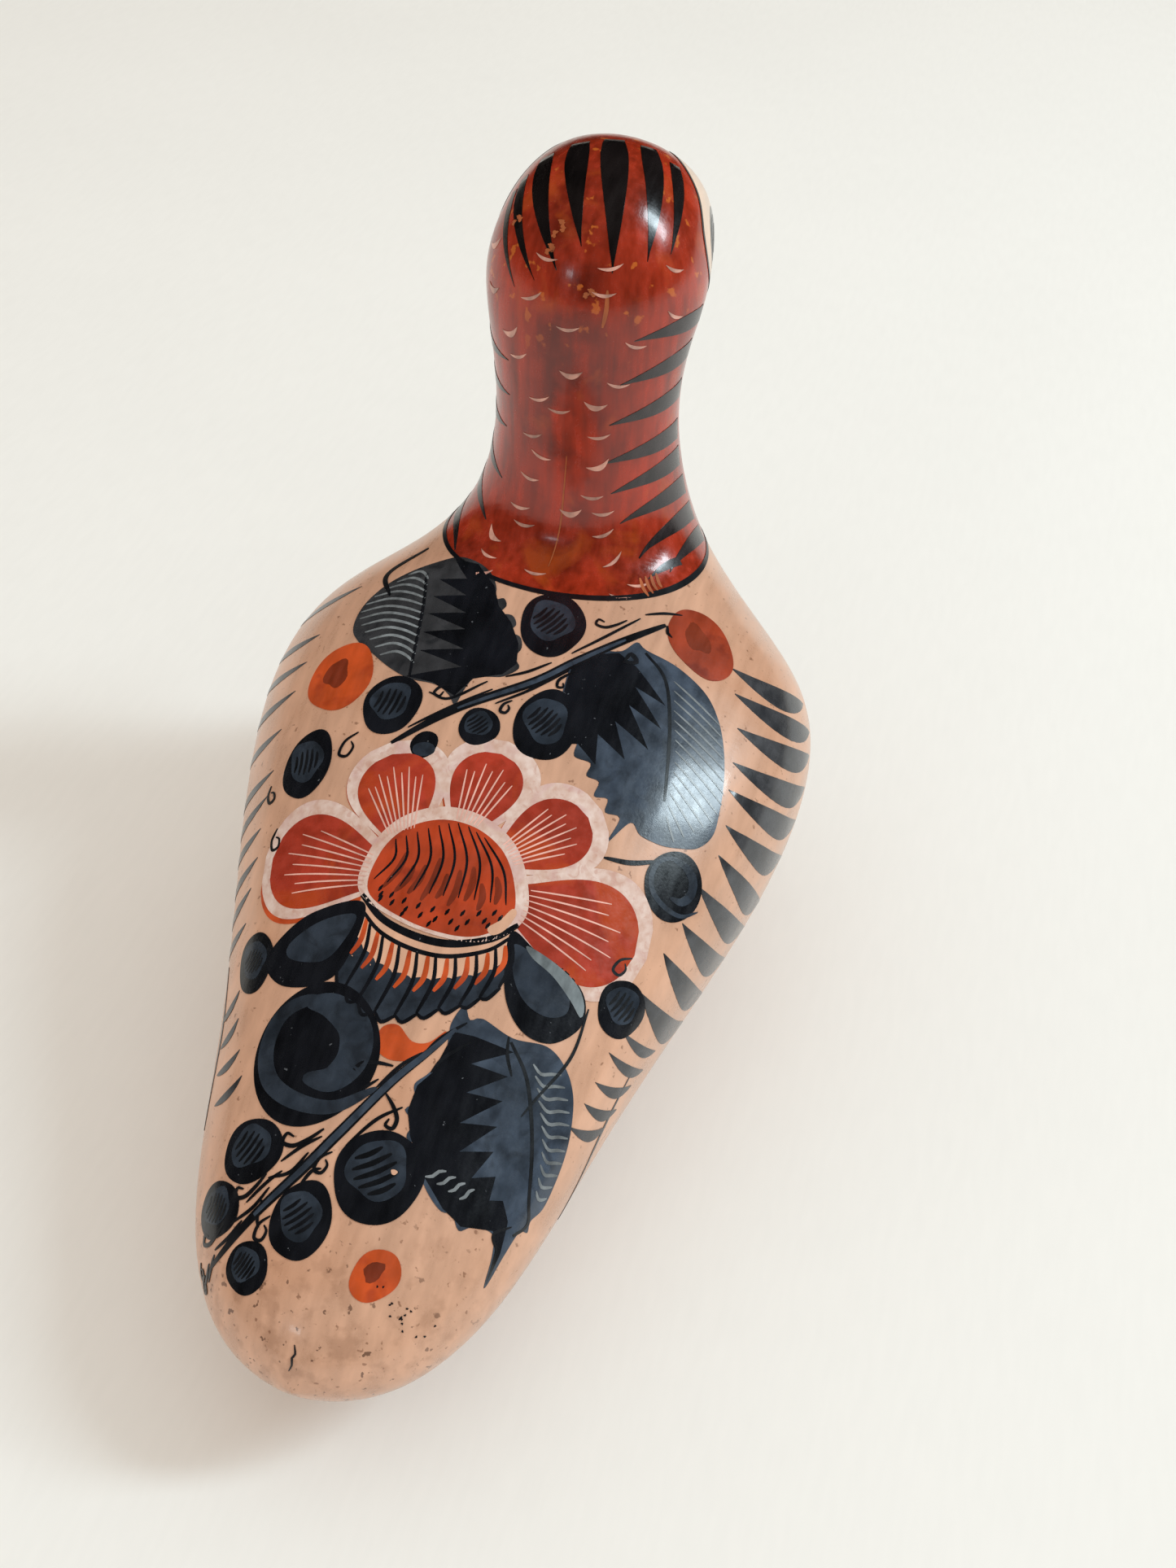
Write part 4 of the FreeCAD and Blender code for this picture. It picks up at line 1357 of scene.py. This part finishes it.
FLOOR_REACH = 40.0      # metres from the bird to each edge of the floor
LIGHTS = (("window", (-1.74, -0.50, 1.66), (0.34, 0.95)), ("far_window", (0.42, 1.25, 0.72), (0.16, 0.12)),
          ("ceiling", (0.0, 0.0, 1.9), (3.0, 3.0)))
FAR_WINDOW_SHARE = 0.02
LIGHT_TARGET = (0.0, 0.0, 0.08)
DAYLIGHT = (0.78, 0.93, 1.0)
ROOM_TINT = (1.0, 0.905, 0.80, 1.0)


class BIRD_OT_stage(bpy.types.Operator):
    """Sets the pale floor, the window light, the room light and the camera"""
    bl_idname = "clay_bird.stage"
    bl_label = "Floor, light and camera"

    def execute(self, context):
        scene, stage = context.scene, context.scene.bird_stage
        mesh = bpy.data.meshes.new("floor")
        corners = [(FLOOR_REACH * x, FLOOR_REACH * y, 0) for x, y in ((-1, -1), (1, -1), (1, 1), (-1, 1))]
        mesh.from_pydata(corners, [], [(0, 1, 2, 3)])
        floor = bpy.data.objects.new("floor", mesh)
        scene.collection.objects.link(floor)
        paper = Slip("white paper", (0.93, 0.935, 0.93), (0.94, 0.945, 0.94), 0.8, clouds=6.0, relief=0.02,
                     polish=0.0)
        mesh.materials.append(paper.done())
        powers = (stage.window, FAR_WINDOW_SHARE * stage.window, stage.ceiling)
        for (name, place, size), power in zip(LIGHTS, powers):
            data = bpy.data.lights.new(name, "AREA")
            data.shape = "RECTANGLE"
            data.size, data.size_y = size
            data.energy = power
            data.color = DAYLIGHT
            lamp = bpy.data.objects.new(name, data)
            lamp.location = place
            aim = Vector(LIGHT_TARGET) - Vector(place)
            lamp.rotation_euler = aim.to_track_quat("-Z", "Y").to_euler()
            lamp.visible_glossy = name != "ceiling"
            scene.collection.objects.link(lamp)
        world = bpy.data.worlds.new("room")
        world.use_nodes = True
        sky = world.node_tree.nodes["Background"]
        sky.inputs["Color"].default_value = ROOM_TINT
        sky.inputs["Strength"].default_value = stage.room
        scene.world = world
        world.cycles_visibility.glossy = False
        scene.view_settings.view_transform = "Standard"
        data = bpy.data.cameras.new("camera")
        data.lens = stage.lens
        data.clip_start = 0.01
        camera = bpy.data.objects.new("camera", data)
        turn, rise, roll = stage.turn, stage.rise, stage.roll
        back = Vector((math.sin(turn) * math.cos(rise), -math.cos(turn) * math.cos(rise), math.sin(rise)))
        side = Vector((math.cos(turn), math.sin(turn), 0.0))
        up = back.cross(side)
        right = side * math.cos(roll) + up * math.sin(roll)
        upright = up * math.cos(roll) - side * math.sin(roll)
        look = Matrix((right, upright, back)).transposed().to_4x4()
        look.translation = Vector(stage.aim) + back * stage.distance
        camera.matrix_world = look
        scene.collection.objects.link(camera)
        scene.camera = camera
        return {"FINISHED"}


OPERATORS = (BIRD_OT_clay, BIRD_OT_flower, BIRD_OT_leaves, BIRD_OT_berries, BIRD_OT_stems, BIRD_OT_spots,
             BIRD_OT_feathers, BIRD_OT_neck, BIRD_OT_face, BIRD_OT_wear, BIRD_OT_stage)


class BIRD_PT_panel(bpy.types.Panel):
    """Lists what makes the clay bird"""
    bl_idname = "BIRD_PT_panel"
    bl_label = "Clay bird"
    bl_space_type = "VIEW_3D"
    bl_region_type = "UI"
    bl_category = "Clay bird"

    def draw(self, context):
        for group in (context.scene.bird_colours, context.scene.bird_stage):
            for name in group.__annotations__:
                self.layout.prop(group, name)
        for operator in OPERATORS:
            self.layout.operator(operator.bl_idname)


CLASSES = (BirdColours, BirdStage) + OPERATORS + (BIRD_PT_panel,)


def register():
    for item in CLASSES:
        bpy.utils.register_class(item)
    bpy.types.Scene.bird_colours = bpy.props.PointerProperty(type=BirdColours)
    bpy.types.Scene.bird_stage = bpy.props.PointerProperty(type=BirdStage)


def unregister():
    del bpy.types.Scene.bird_stage
    del bpy.types.Scene.bird_colours
    for item in reversed(CLASSES):
        bpy.utils.unregister_class(item)


def main():
    register()
    for operator in OPERATORS:
        group, name = operator.bl_idname.split(".")
        getattr(getattr(bpy.ops, group), name)()
    guide = bpy.data.objects.get("skin_guide")
    if guide:
        put_away(guide)


if __name__ == "__main__":
    main()
